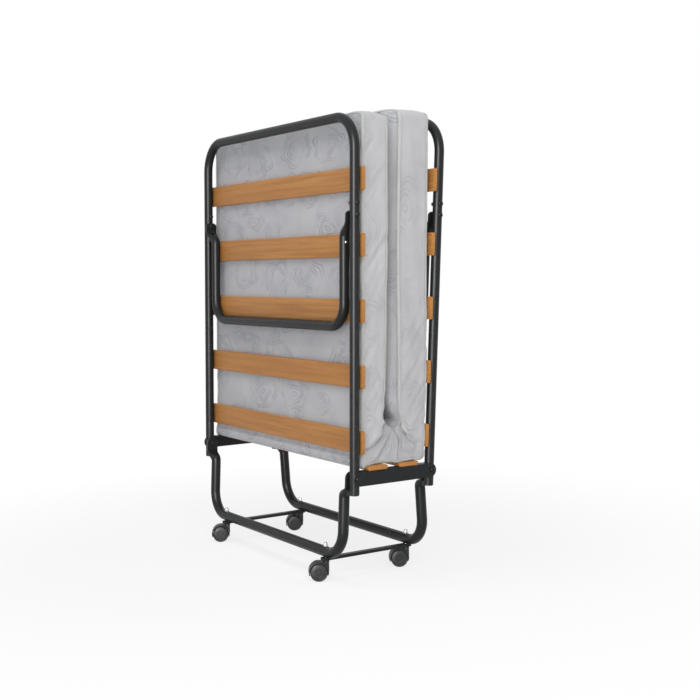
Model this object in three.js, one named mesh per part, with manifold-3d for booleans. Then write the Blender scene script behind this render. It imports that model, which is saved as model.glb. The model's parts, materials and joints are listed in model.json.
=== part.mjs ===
// Folding guest bed on casters, folded upright for storage. Millimetres, +Z up, X across the bed, -Y the
// front. Two half beds hinge on a centre section: each is a bent tube frame with slats, an end leg and half
// of the mattress. The origin is on the floor, under the middle of the whole object.

import * as THREE from "three";
import { mergeVertices } from "three/addons/utils/BufferGeometryUtils.js";
import Module from "manifold-3d";

// ---- Driving dimensions ----

const clearance = 0.3; // gap between pieces that touch or turn in each other
const weld = 0.001; // points closer than this are one point

// Tube, used for the frames and the end legs
const tubeDiameter = 24;
const tubeWall = 1.5;
const tubeSides = 12;
const boreSides = 8; // the tube's inner surface
const bendSteps = 8; // in each quarter bend
const jogSteps = 5;

// Half-bed frames
const bedWidth = 802; // over the outside of the tubes
const frameReach = 873; // from the hinge axis to the outside of the head bar
const frameBend = 80; // to the tube's centre line, as all the bends are
const stubLength = 39; // tube below the hinge axis

// Centre section
const hingeHeight = 269.1; // hinge axis above the floor
const hingeSpacing = 220; // between the two hinge axes
const frontLean = -1.35; // degrees outwards from upright, as the folded frames stand
const rearLean = 3.37;

// Side links: angle bars that carry both hinges
const linkDepth = 35;
const stubPlay = 1.5; // between the tube's stub and the flange it comes to rest under
const linkThickness = 3;
const linkOverhang = 11.5; // beyond the hinge axis at each end
const linkShelf = 25; // width of the top flange, with its upright
const shelfSetback = 16; // the flange stops this far inside each hinge axis
const linkCorner = 1.5;

// Slats
const slatWidth = 56;
const slatThickness = 10;
const slatEdge = 3; // rounding of the long edges
const slatCount = 5; // on each frame
const firstSlat = 85; // hinge axis to the middle of the lowest slat
const slatPitch = 156.8;
const centreSlatPitch = 90;
const centreSlatShift = -6; // the centre pair sits a little nearer the front hinge

// Flattened tube ends, which the bolts go through
const flatThickness = 5.2;
const flatWidth = 34;
const flatSharpness = 1.8; // how squarely the tube's sides turn where it is flattened
const flatBlunt = 2; // the rounded end stops this short of a point
const flatSteps = [1, 0.85, 0.6, 0]; // of the rounded end's outline, as shares of its rise

// Centre legs
const legDiameter = 26.5;
const legInset = 43; // leg arm inside the frame tube, centre line to centre line
const legJogTop = 20; // below the hinge axis
const legJogBottom = 50;
const legEndRise = 15; // flattened end above the hinge axis
const legBend = 65;
const barHeight = 71.6; // centre of the bottom bars above the floor
const barSpacing = 242; // between the two bottom bars

// End legs, which swing down to carry the head and foot
const endLegPivot = 627; // from the frame's hinge axis
const endLegInset = 45.5;
const endLegBend = 58;
const endLegEndRise = 9;
const endLegJogTop = 10; // below the end leg's pivot
const endLegJogBottom = 54;
const endLegFlatStart = 43; // the tube is still round here, where it passes a slat
const endLegFlatEnd = 14; // and fully flat here
const endLegSplay = 16; // degrees past upright when the bed is open, its foot towards the bed's end
const footClearance = 0.5; // above the floor when the bed is open
const stopRise = 28; // stop bolt above the end leg's pivot

// Bolts
const boltDiameter = 8;
const boltSides = 8;
const headDiameter = 13;
const headHeight = 4.5;
const headRim = 1.4; // straight edge of the head, below its dome
const domeSteps = 2;
const stopNubDiameter = 10.4;
const stopNubLength = 9;

// Tie strips between the front and rear casters
const tieWidth = 16;
const tieThickness = 8;
const tieOverhang = 13; // past the stem at each end

// Casters
const casterInset = 132; // stem from the bed's side
const casterTrail = 19; // stem to wheel axle
const casterYaw = -118; // degrees from +X to the trailing direction
const wheelDiameter = 44;
const wheelWidth = 12.5;
const wheelSides = 20;
const wheelChamfer = 2;
const webThickness = 12; // caster body between the wheels
const webRadius = 16;
const fenderWidth = 34;
const fenderReach = 25; // outside, from the axle, fore and aft
const fenderRise = 26; // outside, from the axle, upwards
const fenderDrop = 9; // below the axle
const fenderThickness = 2;
const neckDiameter = 16;
const neckDrop = 4.75; // neck below its top face
const axleDiameter = 6;
const axleBite = 8; // depth of the axle in each wheel
const stemSocket = 26; // stem inside the caster body
const nutDiameter = 13.4;
const nutHeight = 10.5;
const nutRim = 4.7; // below the nut's dome
const nutSides = 12;

// Mattress
const mattressWidth = 784;
const mattressTop = 876; // from the hinge axis, along the frame
const padSeam = 72; // from the hinge axis: the halves start here, above the fold
const foldRound = 26;
const frontPadThickness = 71;
const frontPadLift = 2; // how far the pad's top stands off the slats
const rearPadThickness = 84;
const rearPadLift = 13;
const foldGap = 1.5; // between the fold and the parts that swing past it
const padRound = 20;
const padBevel = 12;

// ---- Derived sizes ----

const tubeRadius = tubeDiameter / 2;
const legRadius = legDiameter / 2;
const linkRise = tubeRadius + stubPlay + linkThickness; // top of the link above the hinge axis
const tubeInset = bedWidth / 2 - tubeRadius; // frame tube's centre line from the middle of the bed
const boltRadius = boltDiameter / 2;
const boltHole = boltRadius + clearance;
const flatInset = tubeInset - tubeRadius - clearance - flatThickness / 2; // middle of a flattened end
const linkInside = bedWidth / 2 + clearance;
const linkOutside = linkInside + linkThickness;
const slatFace = tubeRadius + clearance; // slat's tube side, from the frame's plane
const padFace = slatFace + slatThickness + clearance;
const casterSpacing = bedWidth - 2 * casterInset;
const casterTop = barHeight - legRadius - tieThickness - 2 * clearance;
const endLegDrop = hingeHeight - tubeRadius - footClearance;
const endLegLength = endLegDrop / Math.cos(THREE.MathUtils.degToRad(endLegSplay)); // pivot to bar

// ---- Materials ----

const paint = new THREE.MeshStandardMaterial({ color: 0x33373a, roughness: 0.32, metalness: 0.35 });
const beech = new THREE.MeshStandardMaterial({ color: 0xb9824a, roughness: 0.55, metalness: 0 });
const zinc = new THREE.MeshStandardMaterial({ color: 0xb4b8ba, roughness: 0.3, metalness: 0.9 });
const plastic = new THREE.MeshStandardMaterial({ color: 0x2b2d2f, roughness: 0.45, metalness: 0 });
const ticking = new THREE.MeshStandardMaterial({ color: 0xb6bac2, roughness: 0.9, metalness: 0 });

// ---- Solids that are cut or joined ----

const wasm = await Module();
wasm.setup();

function toSolid(geometry) {
  const plain = new THREE.BufferGeometry();
  plain.setAttribute("position", geometry.getAttribute("position").clone());
  if (geometry.index) {
    plain.setIndex(geometry.index.clone());
  }
  const merged = mergeVertices(plain, weld);
  return new wasm.Manifold(
    new wasm.Mesh({
      numProp: 3,
      vertProperties: merged.getAttribute("position").array,
      triVerts: new Uint32Array(merged.index.array),
    }),
  );
}

function toGeometry(solid) {
  const mesh = solid.getMesh();
  const geometry = new THREE.BufferGeometry();
  geometry.setAttribute("position", new THREE.Float32BufferAttribute(mesh.vertProperties, mesh.numProp));
  geometry.setIndex(new THREE.BufferAttribute(mesh.triVerts, 1));
  geometry.computeVertexNormals();
  return geometry;
}

function join(...geometries) {
  return toGeometry(geometries.map(toSolid).reduce((whole, piece) => whole.add(piece)));
}

function cut(geometry, ...tools) {
  return toGeometry(tools.map(toSolid).reduce((whole, tool) => whole.subtract(tool), toSolid(geometry)));
}

// A round bar along X, Y or Z, centred on a point, for drilling holes. Its flats touch the circle of its
// radius, so that what turns in the hole clears it all the way round.
function drill(axis, radius, length, centre) {
  const cornerRadius = radius / Math.cos(Math.PI / boltSides);
  const bar = new THREE.CylinderGeometry(cornerRadius, cornerRadius, length, boltSides);
  if (axis === "x") {
    bar.rotateZ(Math.PI / 2);
  }
  if (axis === "z") {
    bar.rotateX(Math.PI / 2);
  }
  return bar.translate(centre[0], centre[1], centre[2]);
}

// A box from its lowest corner to its highest.
function block(low, high) {
  const size = high.map((value, i) => value - low[i]);
  const middle = high.map((value, i) => (value + low[i]) / 2);
  return new THREE.BoxGeometry(size[0], size[1], size[2]).translate(middle[0], middle[1], middle[2]);
}

// The profile of a domed end, from its rim to its tip, as [radius, height].
function dome(radius, rim, tip) {
  return Array.from({ length: domeSteps + 1 }, (_, i) => {
    const angle = (i / domeSteps) * (Math.PI / 2);
    return [radius * Math.cos(angle), THREE.MathUtils.lerp(rim, tip, Math.sin(angle))];
  });
}

// A turned piece, with its axis along X. The profile runs from one end to the other as [radius, x].
function turned(profile, segments) {
  const points = profile.map(([radius, x]) => new THREE.Vector2(radius, x));
  return new THREE.LatheGeometry(points, segments).rotateZ(-Math.PI / 2);
}

// ---- Tubes ----

// Half the width of the section (across the route's plane) and half its depth, at a point of the route.
function roundSection() {
  return { wide: tubeRadius, deep: tubeRadius, flat: 0 };
}

// A section that goes from round to flat between two heights, and is flat above them. Its end is rounded over
// the rise above the pivot.
function flattenedSection({ radius, flatFrom, flatTo, pivot, rise }) {
  const roundedTo = rise + flatBlunt;
  return (point) => {
    const flat = THREE.MathUtils.smoothstep(point.y, flatFrom, flatTo);
    const share = Math.max((point.y - pivot) / roundedTo, 0);
    const halfWidth = (flatWidth / 2) * Math.sqrt(1 - share ** 2);
    return {
      wide: THREE.MathUtils.lerp(radius, halfWidth, flat),
      deep: THREE.MathUtils.lerp(radius, flatThickness / 2, flat),
      flat,
    };
  };
}

// The corners of a polygon with flats facing both ways along X and Y.
function ring(cornerRadius, segments) {
  return Array.from({ length: segments }, (_, i) => {
    const angle = (2 * Math.PI * (i + 0.5)) / segments;
    return new THREE.Vector2(cornerRadius * Math.cos(angle), cornerRadius * Math.sin(angle));
  });
}

// The points of a route: the ends of its straights, and the steps of its bends and jogs.
function stopsOf(route) {
  const stepsIn = (curve) => {
    if (curve.isLineCurve) {
      return 1;
    }
    return curve.isEllipseCurve ? bendSteps : jogSteps;
  };
  const points = route.curves.flatMap((curve) => {
    const steps = stepsIn(curve);
    return Array.from({ length: steps + 1 }, (_, i) => curve.getPoint(i / steps));
  });
  return points.filter((point, i) => i === 0 || point.distanceTo(points[i - 1]) > weld);
}

// A hollow tube along a flat route in the XZ plane: a straight extrusion with one ring for each point of the
// route, whose vertices then move to their ring's place. Outside, the flats lie on the tube's circle, and in
// the bore the corners do, so the wall is nowhere thinner than it should be. The bore is open at both ends.
function tubeAlong(route, sectionAt) {
  const stops = stopsOf(route);
  const outside = 1;
  const inside = 0.5;
  const section = new THREE.Shape(ring(outside / Math.cos(Math.PI / tubeSides), tubeSides));
  section.holes.push(new THREE.Path(ring(inside, boreSides)));
  const steps = stops.length - 1;
  const geometry = new THREE.ExtrudeGeometry(section, { depth: steps, steps, bevelEnabled: false });
  const position = geometry.getAttribute("position");
  for (let i = 0; i < position.count; i += 1) {
    const index = Math.round(position.getZ(i));
    const stop = stops[index];
    const before = stop.clone().sub(stops[Math.max(index - 1, 0)]).normalize();
    const after = stops[Math.min(index + 1, steps)].clone().sub(stop).normalize();
    const along = before.add(after).normalize();
    const size = sectionAt(stop);
    const isBore = Math.hypot(position.getX(i), position.getY(i)) < (outside + inside) / 2;
    const unit = isBore ? inside : outside;
    const wall = isBore ? tubeWall : 0;
    const across = position.getX(i) / unit;
    const round = position.getY(i) / unit;
    const flat = THREE.MathUtils.clamp(flatSharpness * round, -1, 1);
    const width = (size.wide - wall) * across;
    const depth = (size.deep - wall) * THREE.MathUtils.lerp(round, flat, size.flat);
    position.setXYZ(i, stop.x - along.y * depth, width, stop.y + along.x * depth);
  }
  return geometry;
}

// The route of an upside-down or upright U: down one arm, along the bar and up the other. Arms that jog have
// their ends at topInset. End levels are extra stops on the way down a flattened end, for its outline.
function uRoute({ armTop, armBottom, armInset, barLevel, bend, topInset, jogTop, jogBottom, endLevels }) {
  const below = armTop > barLevel; // the bar is below the arms' ends
  const quarter = below ? -Math.PI / 2 : Math.PI / 2;
  const jogMiddle = (jogTop + jogBottom) / 2;
  const jogs = topInset !== armInset;
  const route = new THREE.Path();
  route.moveTo(topInset, armTop);
  for (const level of endLevels ?? []) {
    route.lineTo(topInset, level);
  }
  if (jogs) {
    route.lineTo(topInset, jogTop);
    route.bezierCurveTo(topInset, jogMiddle, armInset, jogMiddle, armInset, jogBottom);
  }
  route.lineTo(armInset, armBottom);
  route.absarc(armInset - bend, armBottom, bend, 0, quarter, below);
  route.lineTo(bend - armInset, barLevel);
  route.absarc(bend - armInset, armBottom, bend, quarter, 2 * quarter, below);
  if (jogs) {
    route.lineTo(-armInset, jogBottom);
    route.bezierCurveTo(-armInset, jogMiddle, -topInset, jogMiddle, -topInset, jogTop);
  }
  for (const level of (endLevels ?? []).toReversed()) {
    route.lineTo(-topInset, level);
  }
  route.lineTo(-topInset, armTop);
  return route;
}

// ---- Pieces ----

const cot = new THREE.Group();

function addPiece(parent, name, geometry, material) {
  const mesh = new THREE.Mesh(geometry, material);
  mesh.name = name;
  parent.add(mesh);
  return mesh;
}

const sides = [
  { side: 1, label: "right" },
  { side: -1, label: "left" },
];

// A bolt along X with a domed head outside and a plain head or nub inside, made for the +X side and turned
// round for the other.
function boltAlongX(outsideFace, insideFace, insideRadius, insideLength, side) {
  const headRadius = headDiameter / 2;
  const profile = [
    [0, insideFace - insideLength],
    [insideRadius, insideFace - insideLength],
    [insideRadius, insideFace],
    [boltRadius, insideFace],
    [boltRadius, outsideFace],
    [headRadius, outsideFace],
    ...dome(headRadius, outsideFace + headRim, outsideFace + headHeight),
  ];
  const bolt = turned(profile, boltSides);
  return side > 0 ? bolt : bolt.rotateZ(Math.PI);
}

function slatGeometry(length) {
  const halfWidth = slatWidth / 2;
  const section = new THREE.Shape();
  section.moveTo(slatEdge, -halfWidth);
  section.lineTo(slatThickness - slatEdge, -halfWidth);
  section.quadraticCurveTo(slatThickness, -halfWidth, slatThickness, -halfWidth + slatEdge);
  section.lineTo(slatThickness, halfWidth - slatEdge);
  section.quadraticCurveTo(slatThickness, halfWidth, slatThickness - slatEdge, halfWidth);
  section.lineTo(slatEdge, halfWidth);
  section.quadraticCurveTo(0, halfWidth, 0, halfWidth - slatEdge);
  section.lineTo(0, -halfWidth + slatEdge);
  section.quadraticCurveTo(0, -halfWidth, slatEdge, -halfWidth);
  const slat = new THREE.ExtrudeGeometry(section, { depth: length, bevelEnabled: false, curveSegments: 2 });
  // From x = thickness, y = width, z = length to x = length, y = thickness, z = width
  slat.translate(0, 0, -length / 2);
  return slat.applyMatrix4(new THREE.Matrix4().set(0, 0, 1, 0, 1, 0, 0, 0, 0, 1, 0, 0, 0, 0, 0, 1));
}

function frameTube() {
  const barLevel = frameReach - tubeRadius;
  const route = uRoute({
    armTop: -stubLength,
    armBottom: barLevel - frameBend,
    barLevel,
    armInset: tubeInset,
    topInset: tubeInset,
    bend: frameBend,
  });
  const holes = [];
  for (const level of [0, endLegPivot, endLegPivot + stopRise]) {
    for (const { side } of sides) {
      holes.push(drill("x", boltHole, tubeDiameter * 2, [side * tubeInset, 0, level]));
    }
  }
  return cut(tubeAlong(route, roundSection), ...holes);
}

function endLegTube() {
  const barLevel = endLegPivot - endLegLength;
  const jogTop = endLegPivot - endLegJogTop;
  const jogBottom = endLegPivot - endLegJogBottom;
  const route = uRoute({
    armTop: endLegPivot + endLegEndRise,
    endLevels: flatSteps.map((share) => endLegPivot + share * endLegEndRise),
    armBottom: barLevel + endLegBend,
    barLevel,
    armInset: tubeInset - endLegInset,
    topInset: flatInset,
    jogTop,
    jogBottom,
    bend: endLegBend,
  });
  const section = flattenedSection({
    radius: tubeRadius,
    flatFrom: endLegPivot - endLegFlatStart,
    flatTo: endLegPivot - endLegFlatEnd,
    pivot: endLegPivot,
    rise: endLegEndRise,
  });
  const drillEnd = ({ side }) => drill("x", boltHole, tubeDiameter, [side * flatInset, 0, endLegPivot]);
  return cut(tubeAlong(route, section), ...sides.map(drillEnd));
}

// Half of the mattress: its side outline, from the slats inwards and along the frame, taken across the bed.
// It stands off the slats towards the top by the lift.
function padGeometry(thickness, lift) {
  const near = padFace + padBevel;
  const bottom = padSeam + padBevel;
  const top = mattressTop - padBevel;
  const far = padFace + thickness - padBevel;
  const outline = new THREE.Shape();
  outline.moveTo(near, bottom);
  outline.lineTo(far, bottom);
  outline.lineTo(far + lift, top - padRound);
  outline.quadraticCurveTo(far + lift, top, far + lift - padRound, top);
  outline.lineTo(near + lift + padRound, top);
  outline.quadraticCurveTo(near + lift, top, near + lift, top - padRound);
  return acrossBed(outline);
}

// Takes an outline in the YZ plane across the mattress's width, with its side edges rounded.
function acrossBed(outline) {
  const depth = mattressWidth - 2 * padBevel;
  const solid = new THREE.ExtrudeGeometry(outline, {
    depth,
    curveSegments: 3,
    bevelThickness: padBevel,
    bevelSize: padBevel,
    bevelSegments: 2,
  });
  solid.translate(0, 0, -depth / 2);
  return solid.applyMatrix4(new THREE.Matrix4().set(0, 0, 1, 0, 1, 0, 0, 0, 0, 1, 0, 0, 0, 0, 0, 1));
}

// One half of the bed, in its own frame: the hinge axis at the origin, the tube in the XZ plane, the mattress
// on +Y. Facing is -1 for the half that is turned round to face the other.
function halfBed({ label, facing, padThickness, padLift, lean }) {
  const half = new THREE.Group();
  half.rotation.x = THREE.MathUtils.degToRad(lean);
  addPiece(half, `${label}_frame_tube`, frameTube(), paint);
  for (let i = 0; i < slatCount; i += 1) {
    const slat = addPiece(half, `${label}_slat_${i + 1}`, slatGeometry(bedWidth), beech);
    slat.position.set(0, slatFace, firstSlat + i * slatPitch);
  }
  addPiece(half, `${label}_end_leg`, endLegTube(), paint);
  const boltFace = bedWidth / 2 + clearance;
  for (const { side: bedSide, label: sideLabel } of sides) {
    const side = facing * bedSide;
    const legFace = flatInset - flatThickness / 2 - clearance;
    const pivotBolt = boltAlongX(boltFace, legFace, headDiameter / 2, headHeight, side);
    const pivot = addPiece(half, `${label}_end_leg_bolt_${sideLabel}`, pivotBolt, paint);
    pivot.position.z = endLegPivot;
    const tubeFace = tubeInset - tubeRadius - clearance;
    const stopBolt = boltAlongX(boltFace, tubeFace, stopNubDiameter / 2, stopNubLength, side);
    const stop = addPiece(half, `${label}_end_leg_stop_${sideLabel}`, stopBolt, paint);
    stop.position.z = endLegPivot + stopRise;
  }
  addPiece(half, `mattress_${label}`, padGeometry(padThickness, padLift), ticking);
  const placed = new THREE.Group();
  placed.add(half);
  placed.rotation.z = facing > 0 ? 0 : Math.PI;
  placed.position.set(0, (-facing * hingeSpacing) / 2, hingeHeight);
  return placed;
}

function linkGeometry(side) {
  const endRadius = linkDepth / 2;
  const middle = linkRise - endRadius;
  const reach = hingeSpacing / 2 + linkOverhang - endRadius;
  const plate = new THREE.Shape();
  plate.moveTo(-reach, middle - endRadius);
  plate.lineTo(reach, middle - endRadius);
  plate.absarc(reach, middle, endRadius, -Math.PI / 2, Math.PI / 2, false);
  plate.lineTo(-reach, middle + endRadius);
  plate.absarc(-reach, middle, endRadius, Math.PI / 2, (3 * Math.PI) / 2, false);
  for (const end of [-1, 1]) {
    const hole = new THREE.Path();
    hole.absarc((end * hingeSpacing) / 2, 0, boltHole, 0, 2 * Math.PI, true);
    plate.holes.push(hole);
  }
  const solid = { depth: linkThickness, bevelEnabled: false, curveSegments: 6 };
  const upright = new THREE.ExtrudeGeometry(plate, solid);
  // From x = along the bed, y = up, z = across to x = across, y = along, z = up
  upright.applyMatrix4(new THREE.Matrix4().set(0, 0, 1, linkInside, 1, 0, 0, 0, 0, 1, 0, 0, 0, 0, 0, 1));
  const shelfEnd = hingeSpacing / 2 - shelfSetback;
  const shelf = block(
    [linkOutside - linkShelf, -shelfEnd, linkRise - linkThickness],
    [linkOutside - linkCorner, shelfEnd, linkRise],
  );
  const link = join(upright, shelf);
  return side > 0 ? link : link.rotateZ(Math.PI);
}

// A U-shaped leg with its hinge axis at the origin, splayed so that its bottom bar meets the caster line.
const legDrop = hingeHeight - barHeight;
const legReach = (barSpacing - hingeSpacing) / 2;
const legLength = Math.hypot(legDrop, legReach);
const legSplay = Math.atan2(legReach, legDrop);

function centreLeg(facing) {
  const route = uRoute({
    armTop: legEndRise,
    endLevels: flatSteps.map((share) => share * legEndRise),
    armBottom: legBend - legLength,
    barLevel: -legLength,
    armInset: tubeInset - legInset,
    topInset: flatInset,
    jogTop: -legJogTop,
    jogBottom: -legJogBottom,
    bend: legBend,
  });
  const section = flattenedSection({
    radius: legRadius,
    flatFrom: -legJogBottom,
    flatTo: -legJogTop,
    pivot: 0,
    rise: legEndRise,
  });
  const tube = tubeAlong(route, section);
  const holes = sides.flatMap(({ side }) => {
    const hinge = drill("x", boltHole, tubeDiameter, [side * flatInset, 0, 0]);
    const stem = drill("z", boltHole, 3 * tubeDiameter, [(side * casterSpacing) / 2, 0, 0]);
    return [hinge, stem.rotateX(facing * legSplay).translate(0, 0, -legLength)];
  });
  return cut(tube, ...holes).rotateX(-facing * legSplay);
}

function tieStrip() {
  const half = barSpacing / 2 + tieOverhang;
  const top = barHeight - legRadius - clearance;
  const bar = block([-tieWidth / 2, -half, top - tieThickness], [tieWidth / 2, half, top]);
  const drillEnd = (end) => drill("z", boltHole, 4 * tieThickness, [0, (end * barSpacing) / 2, top]);
  return cut(bar, drillEnd(-1), drillEnd(1));
}

// ---- Casters: stem at the origin, floor at z = 0, the wheels trailing towards -X ----

function casterStem() {
  const bottom = casterTop - stemSocket;
  const seat = barHeight + legRadius + clearance;
  const profile = [
    [0, bottom],
    [boltRadius, bottom],
    [boltRadius, seat],
    [nutDiameter / 2, seat],
    ...dome(nutDiameter / 2, seat + nutRim, seat + nutHeight),
  ];
  return turned(profile, nutSides).rotateY(-Math.PI / 2);
}

function casterBody() {
  const axle = wheelDiameter / 2;
  const outline = new THREE.Shape();
  const low = -fenderDrop;
  const outerLow = Math.sqrt(fenderReach ** 2 - fenderDrop ** 2);
  const innerReach = fenderReach - fenderThickness;
  const innerRise = fenderRise - fenderThickness;
  const innerLow = Math.sqrt(innerReach ** 2 - fenderDrop ** 2);
  const lowAngle = Math.atan2(fenderDrop, outerLow);
  const innerAngle = Math.atan2(fenderDrop, innerLow);
  outline.moveTo(outerLow, low);
  outline.absarc(0, 0, fenderReach, -lowAngle, 0, false);
  outline.absellipse(0, 0, fenderReach, fenderRise, 0, Math.PI, false, 0);
  outline.absarc(0, 0, fenderReach, Math.PI, Math.PI + lowAngle, false);
  outline.lineTo(-innerLow, low);
  outline.absarc(0, 0, innerReach, Math.PI + innerAngle, Math.PI, true);
  outline.absellipse(0, 0, innerReach, innerRise, Math.PI, 0, true, 0);
  outline.absarc(0, 0, innerReach, 0, -innerAngle, true);
  const upright = new THREE.Matrix4().set(1, 0, 0, -casterTrail, 0, 0, -1, 0, 0, 1, 0, axle, 0, 0, 0, 1);
  const plain = { bevelEnabled: false, curveSegments: 5 };
  const fender = new THREE.ExtrudeGeometry(outline, { ...plain, depth: fenderWidth });
  fender.translate(0, 0, -fenderWidth / 2).applyMatrix4(upright);
  const web = new THREE.Shape();
  web.absarc(0, 0, webRadius, Math.PI / 2, (7 * Math.PI) / 4, false);
  web.lineTo(casterTrail + neckDiameter / 2, 0);
  web.lineTo(casterTrail + neckDiameter / 2, casterTop - axle - neckDrop / 2);
  web.lineTo(0, fenderRise - fenderThickness / 2);
  const plate = new THREE.ExtrudeGeometry(web, { ...plain, depth: webThickness });
  plate.translate(0, 0, -webThickness / 2).applyMatrix4(upright);
  const neck = drill("z", neckDiameter / 2, neckDrop, [0, 0, casterTop - neckDrop / 2]);
  const body = join(fender, plate, neck);
  const socket = drill("z", boltHole, 2 * (stemSocket + clearance), [0, 0, casterTop]);
  const bore = drill("y", axleDiameter / 2 + clearance, fenderWidth, [-casterTrail, 0, axle]);
  return cut(body, socket, bore);
}

// A wheel is a polygon round its circle, and stands on one of its flats.
function casterWheel(side) {
  const radius = wheelDiameter / 2 / Math.cos(Math.PI / wheelSides);
  const inner = webThickness / 2 + clearance;
  const outer = inner + wheelWidth;
  const bore = axleDiameter / 2 + clearance;
  const profile = [
    [0, inner + axleBite],
    [bore, inner + axleBite],
    [bore, inner],
    [radius - wheelChamfer / 2, inner],
    [radius, inner + wheelChamfer / 2],
    [radius, outer - wheelChamfer],
    [radius - wheelChamfer, outer],
    [0, outer],
  ];
  const wheel = turned(profile, wheelSides).rotateX(Math.PI / wheelSides);
  return wheel.rotateZ((side * Math.PI) / 2).translate(-casterTrail, 0, wheelDiameter / 2);
}

function casterAxle() {
  const half = webThickness / 2 + axleBite;
  const profile = [
    [0, -half],
    [axleDiameter / 2, -half],
    [axleDiameter / 2, half],
    [0, half],
  ];
  return turned(profile, boltSides).rotateZ(Math.PI / 2).translate(-casterTrail, 0, wheelDiameter / 2);
}

// ---- Assembly ----

cot.add(
  halfBed({
    label: "front",
    facing: 1,
    padThickness: frontPadThickness,
    padLift: frontPadLift,
    lean: frontLean,
  }),
);
cot.add(
  halfBed({
    label: "rear",
    facing: -1,
    padThickness: rearPadThickness,
    padLift: rearPadLift,
    lean: rearLean,
  }),
);

const ends = [
  { end: -1, label: "front" },
  { end: 1, label: "rear" },
];

for (const { side, label } of sides) {
  const link = addPiece(cot, `side_link_${label}`, linkGeometry(side), paint);
  link.position.z = hingeHeight;
  for (const { end, label: endLabel } of ends) {
    const legFace = flatInset - flatThickness / 2 - clearance;
    const bolt = boltAlongX(linkOutside + clearance, legFace, headDiameter / 2, headHeight, side);
    const hinge = addPiece(cot, `hinge_bolt_${endLabel}_${label}`, bolt, paint);
    hinge.position.set(0, (end * hingeSpacing) / 2, hingeHeight);
  }
  const tie = addPiece(cot, `tie_strip_${label}`, tieStrip(), paint);
  tie.position.x = (side * casterSpacing) / 2;
}

for (const { end, label: endLabel } of ends) {
  const leg = addPiece(cot, `centre_leg_${endLabel}`, centreLeg(-end), paint);
  leg.position.set(0, (end * hingeSpacing) / 2, hingeHeight);
  const slat = addPiece(cot, `centre_slat_${endLabel}`, slatGeometry(2 * linkOutside), beech);
  slat.rotation.x = Math.PI / 2;
  const slatMiddle = centreSlatShift + (end * centreSlatPitch) / 2;
  slat.position.set(0, slatMiddle, hingeHeight + linkRise + clearance);
}

for (const { side, label } of sides) {
  for (const { end, label: endLabel } of ends) {
    const place = `${endLabel}_${label}`;
    const caster = new THREE.Group();
    caster.position.set((side * casterSpacing) / 2, (end * barSpacing) / 2, 0);
    addPiece(caster, `caster_stem_${place}`, casterStem(), zinc);
    const swivel = new THREE.Group();
    swivel.rotation.z = THREE.MathUtils.degToRad(casterYaw + 180);
    addPiece(swivel, `caster_body_${place}`, casterBody(), plastic);
    addPiece(swivel, `caster_wheel_inner_${place}`, casterWheel(side), plastic);
    addPiece(swivel, `caster_wheel_outer_${place}`, casterWheel(-side), plastic);
    addPiece(swivel, `caster_axle_${place}`, casterAxle(), zinc);
    caster.add(swivel);
    cot.add(caster);
  }
}

// The fold of the mattress lies on the centre slats, between the two halves and below them.
function foldGeometry() {
  const inwards = (lean, reach, off) => off - reach * Math.sin(THREE.MathUtils.degToRad(lean));
  const upwards = (lean, reach, off) => off * Math.sin(THREE.MathUtils.degToRad(lean)) + reach;
  const frontFace = Math.max(inwards(frontLean, padSeam, padFace), inwards(frontLean, 0, padFace));
  const rearFace = Math.max(inwards(rearLean, padSeam, padFace), inwards(rearLean, 0, padFace));
  const frontDip = upwards(frontLean, padSeam, padFace + frontPadThickness);
  const rearDip = upwards(rearLean, padSeam, padFace + rearPadThickness);
  const from = -hingeSpacing / 2 + frontFace + foldGap + padBevel;
  const to = hingeSpacing / 2 - rearFace - foldGap - padBevel;
  const bottom = linkRise + slatThickness + 2 * clearance + padBevel;
  const top = Math.min(frontDip, rearDip, padSeam) - foldGap - padBevel;
  const outline = new THREE.Shape();
  outline.moveTo(from, top);
  outline.quadraticCurveTo(from, bottom, from + foldRound, bottom);
  outline.lineTo(to - foldRound, bottom);
  outline.quadraticCurveTo(to, bottom, to, top);
  return acrossBed(outline);
}

const fold = addPiece(cot, "mattress_fold", foldGeometry(), ticking);
fold.position.z = hingeHeight;

// The origin goes to the floor under the middle of the whole object.
const bounds = new THREE.Box3().setFromObject(cot, true);
const middle = bounds.getCenter(new THREE.Vector3());
cot.position.set(-middle.x, -middle.y, -bounds.min.z);

export default cot;
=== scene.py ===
import json
import math
import random
from bisect import bisect_right
from collections import namedtuple
from functools import partial

import bpy
from mathutils import Matrix, Vector, noise
from mathutils.bvhtree import BVHTree


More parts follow.
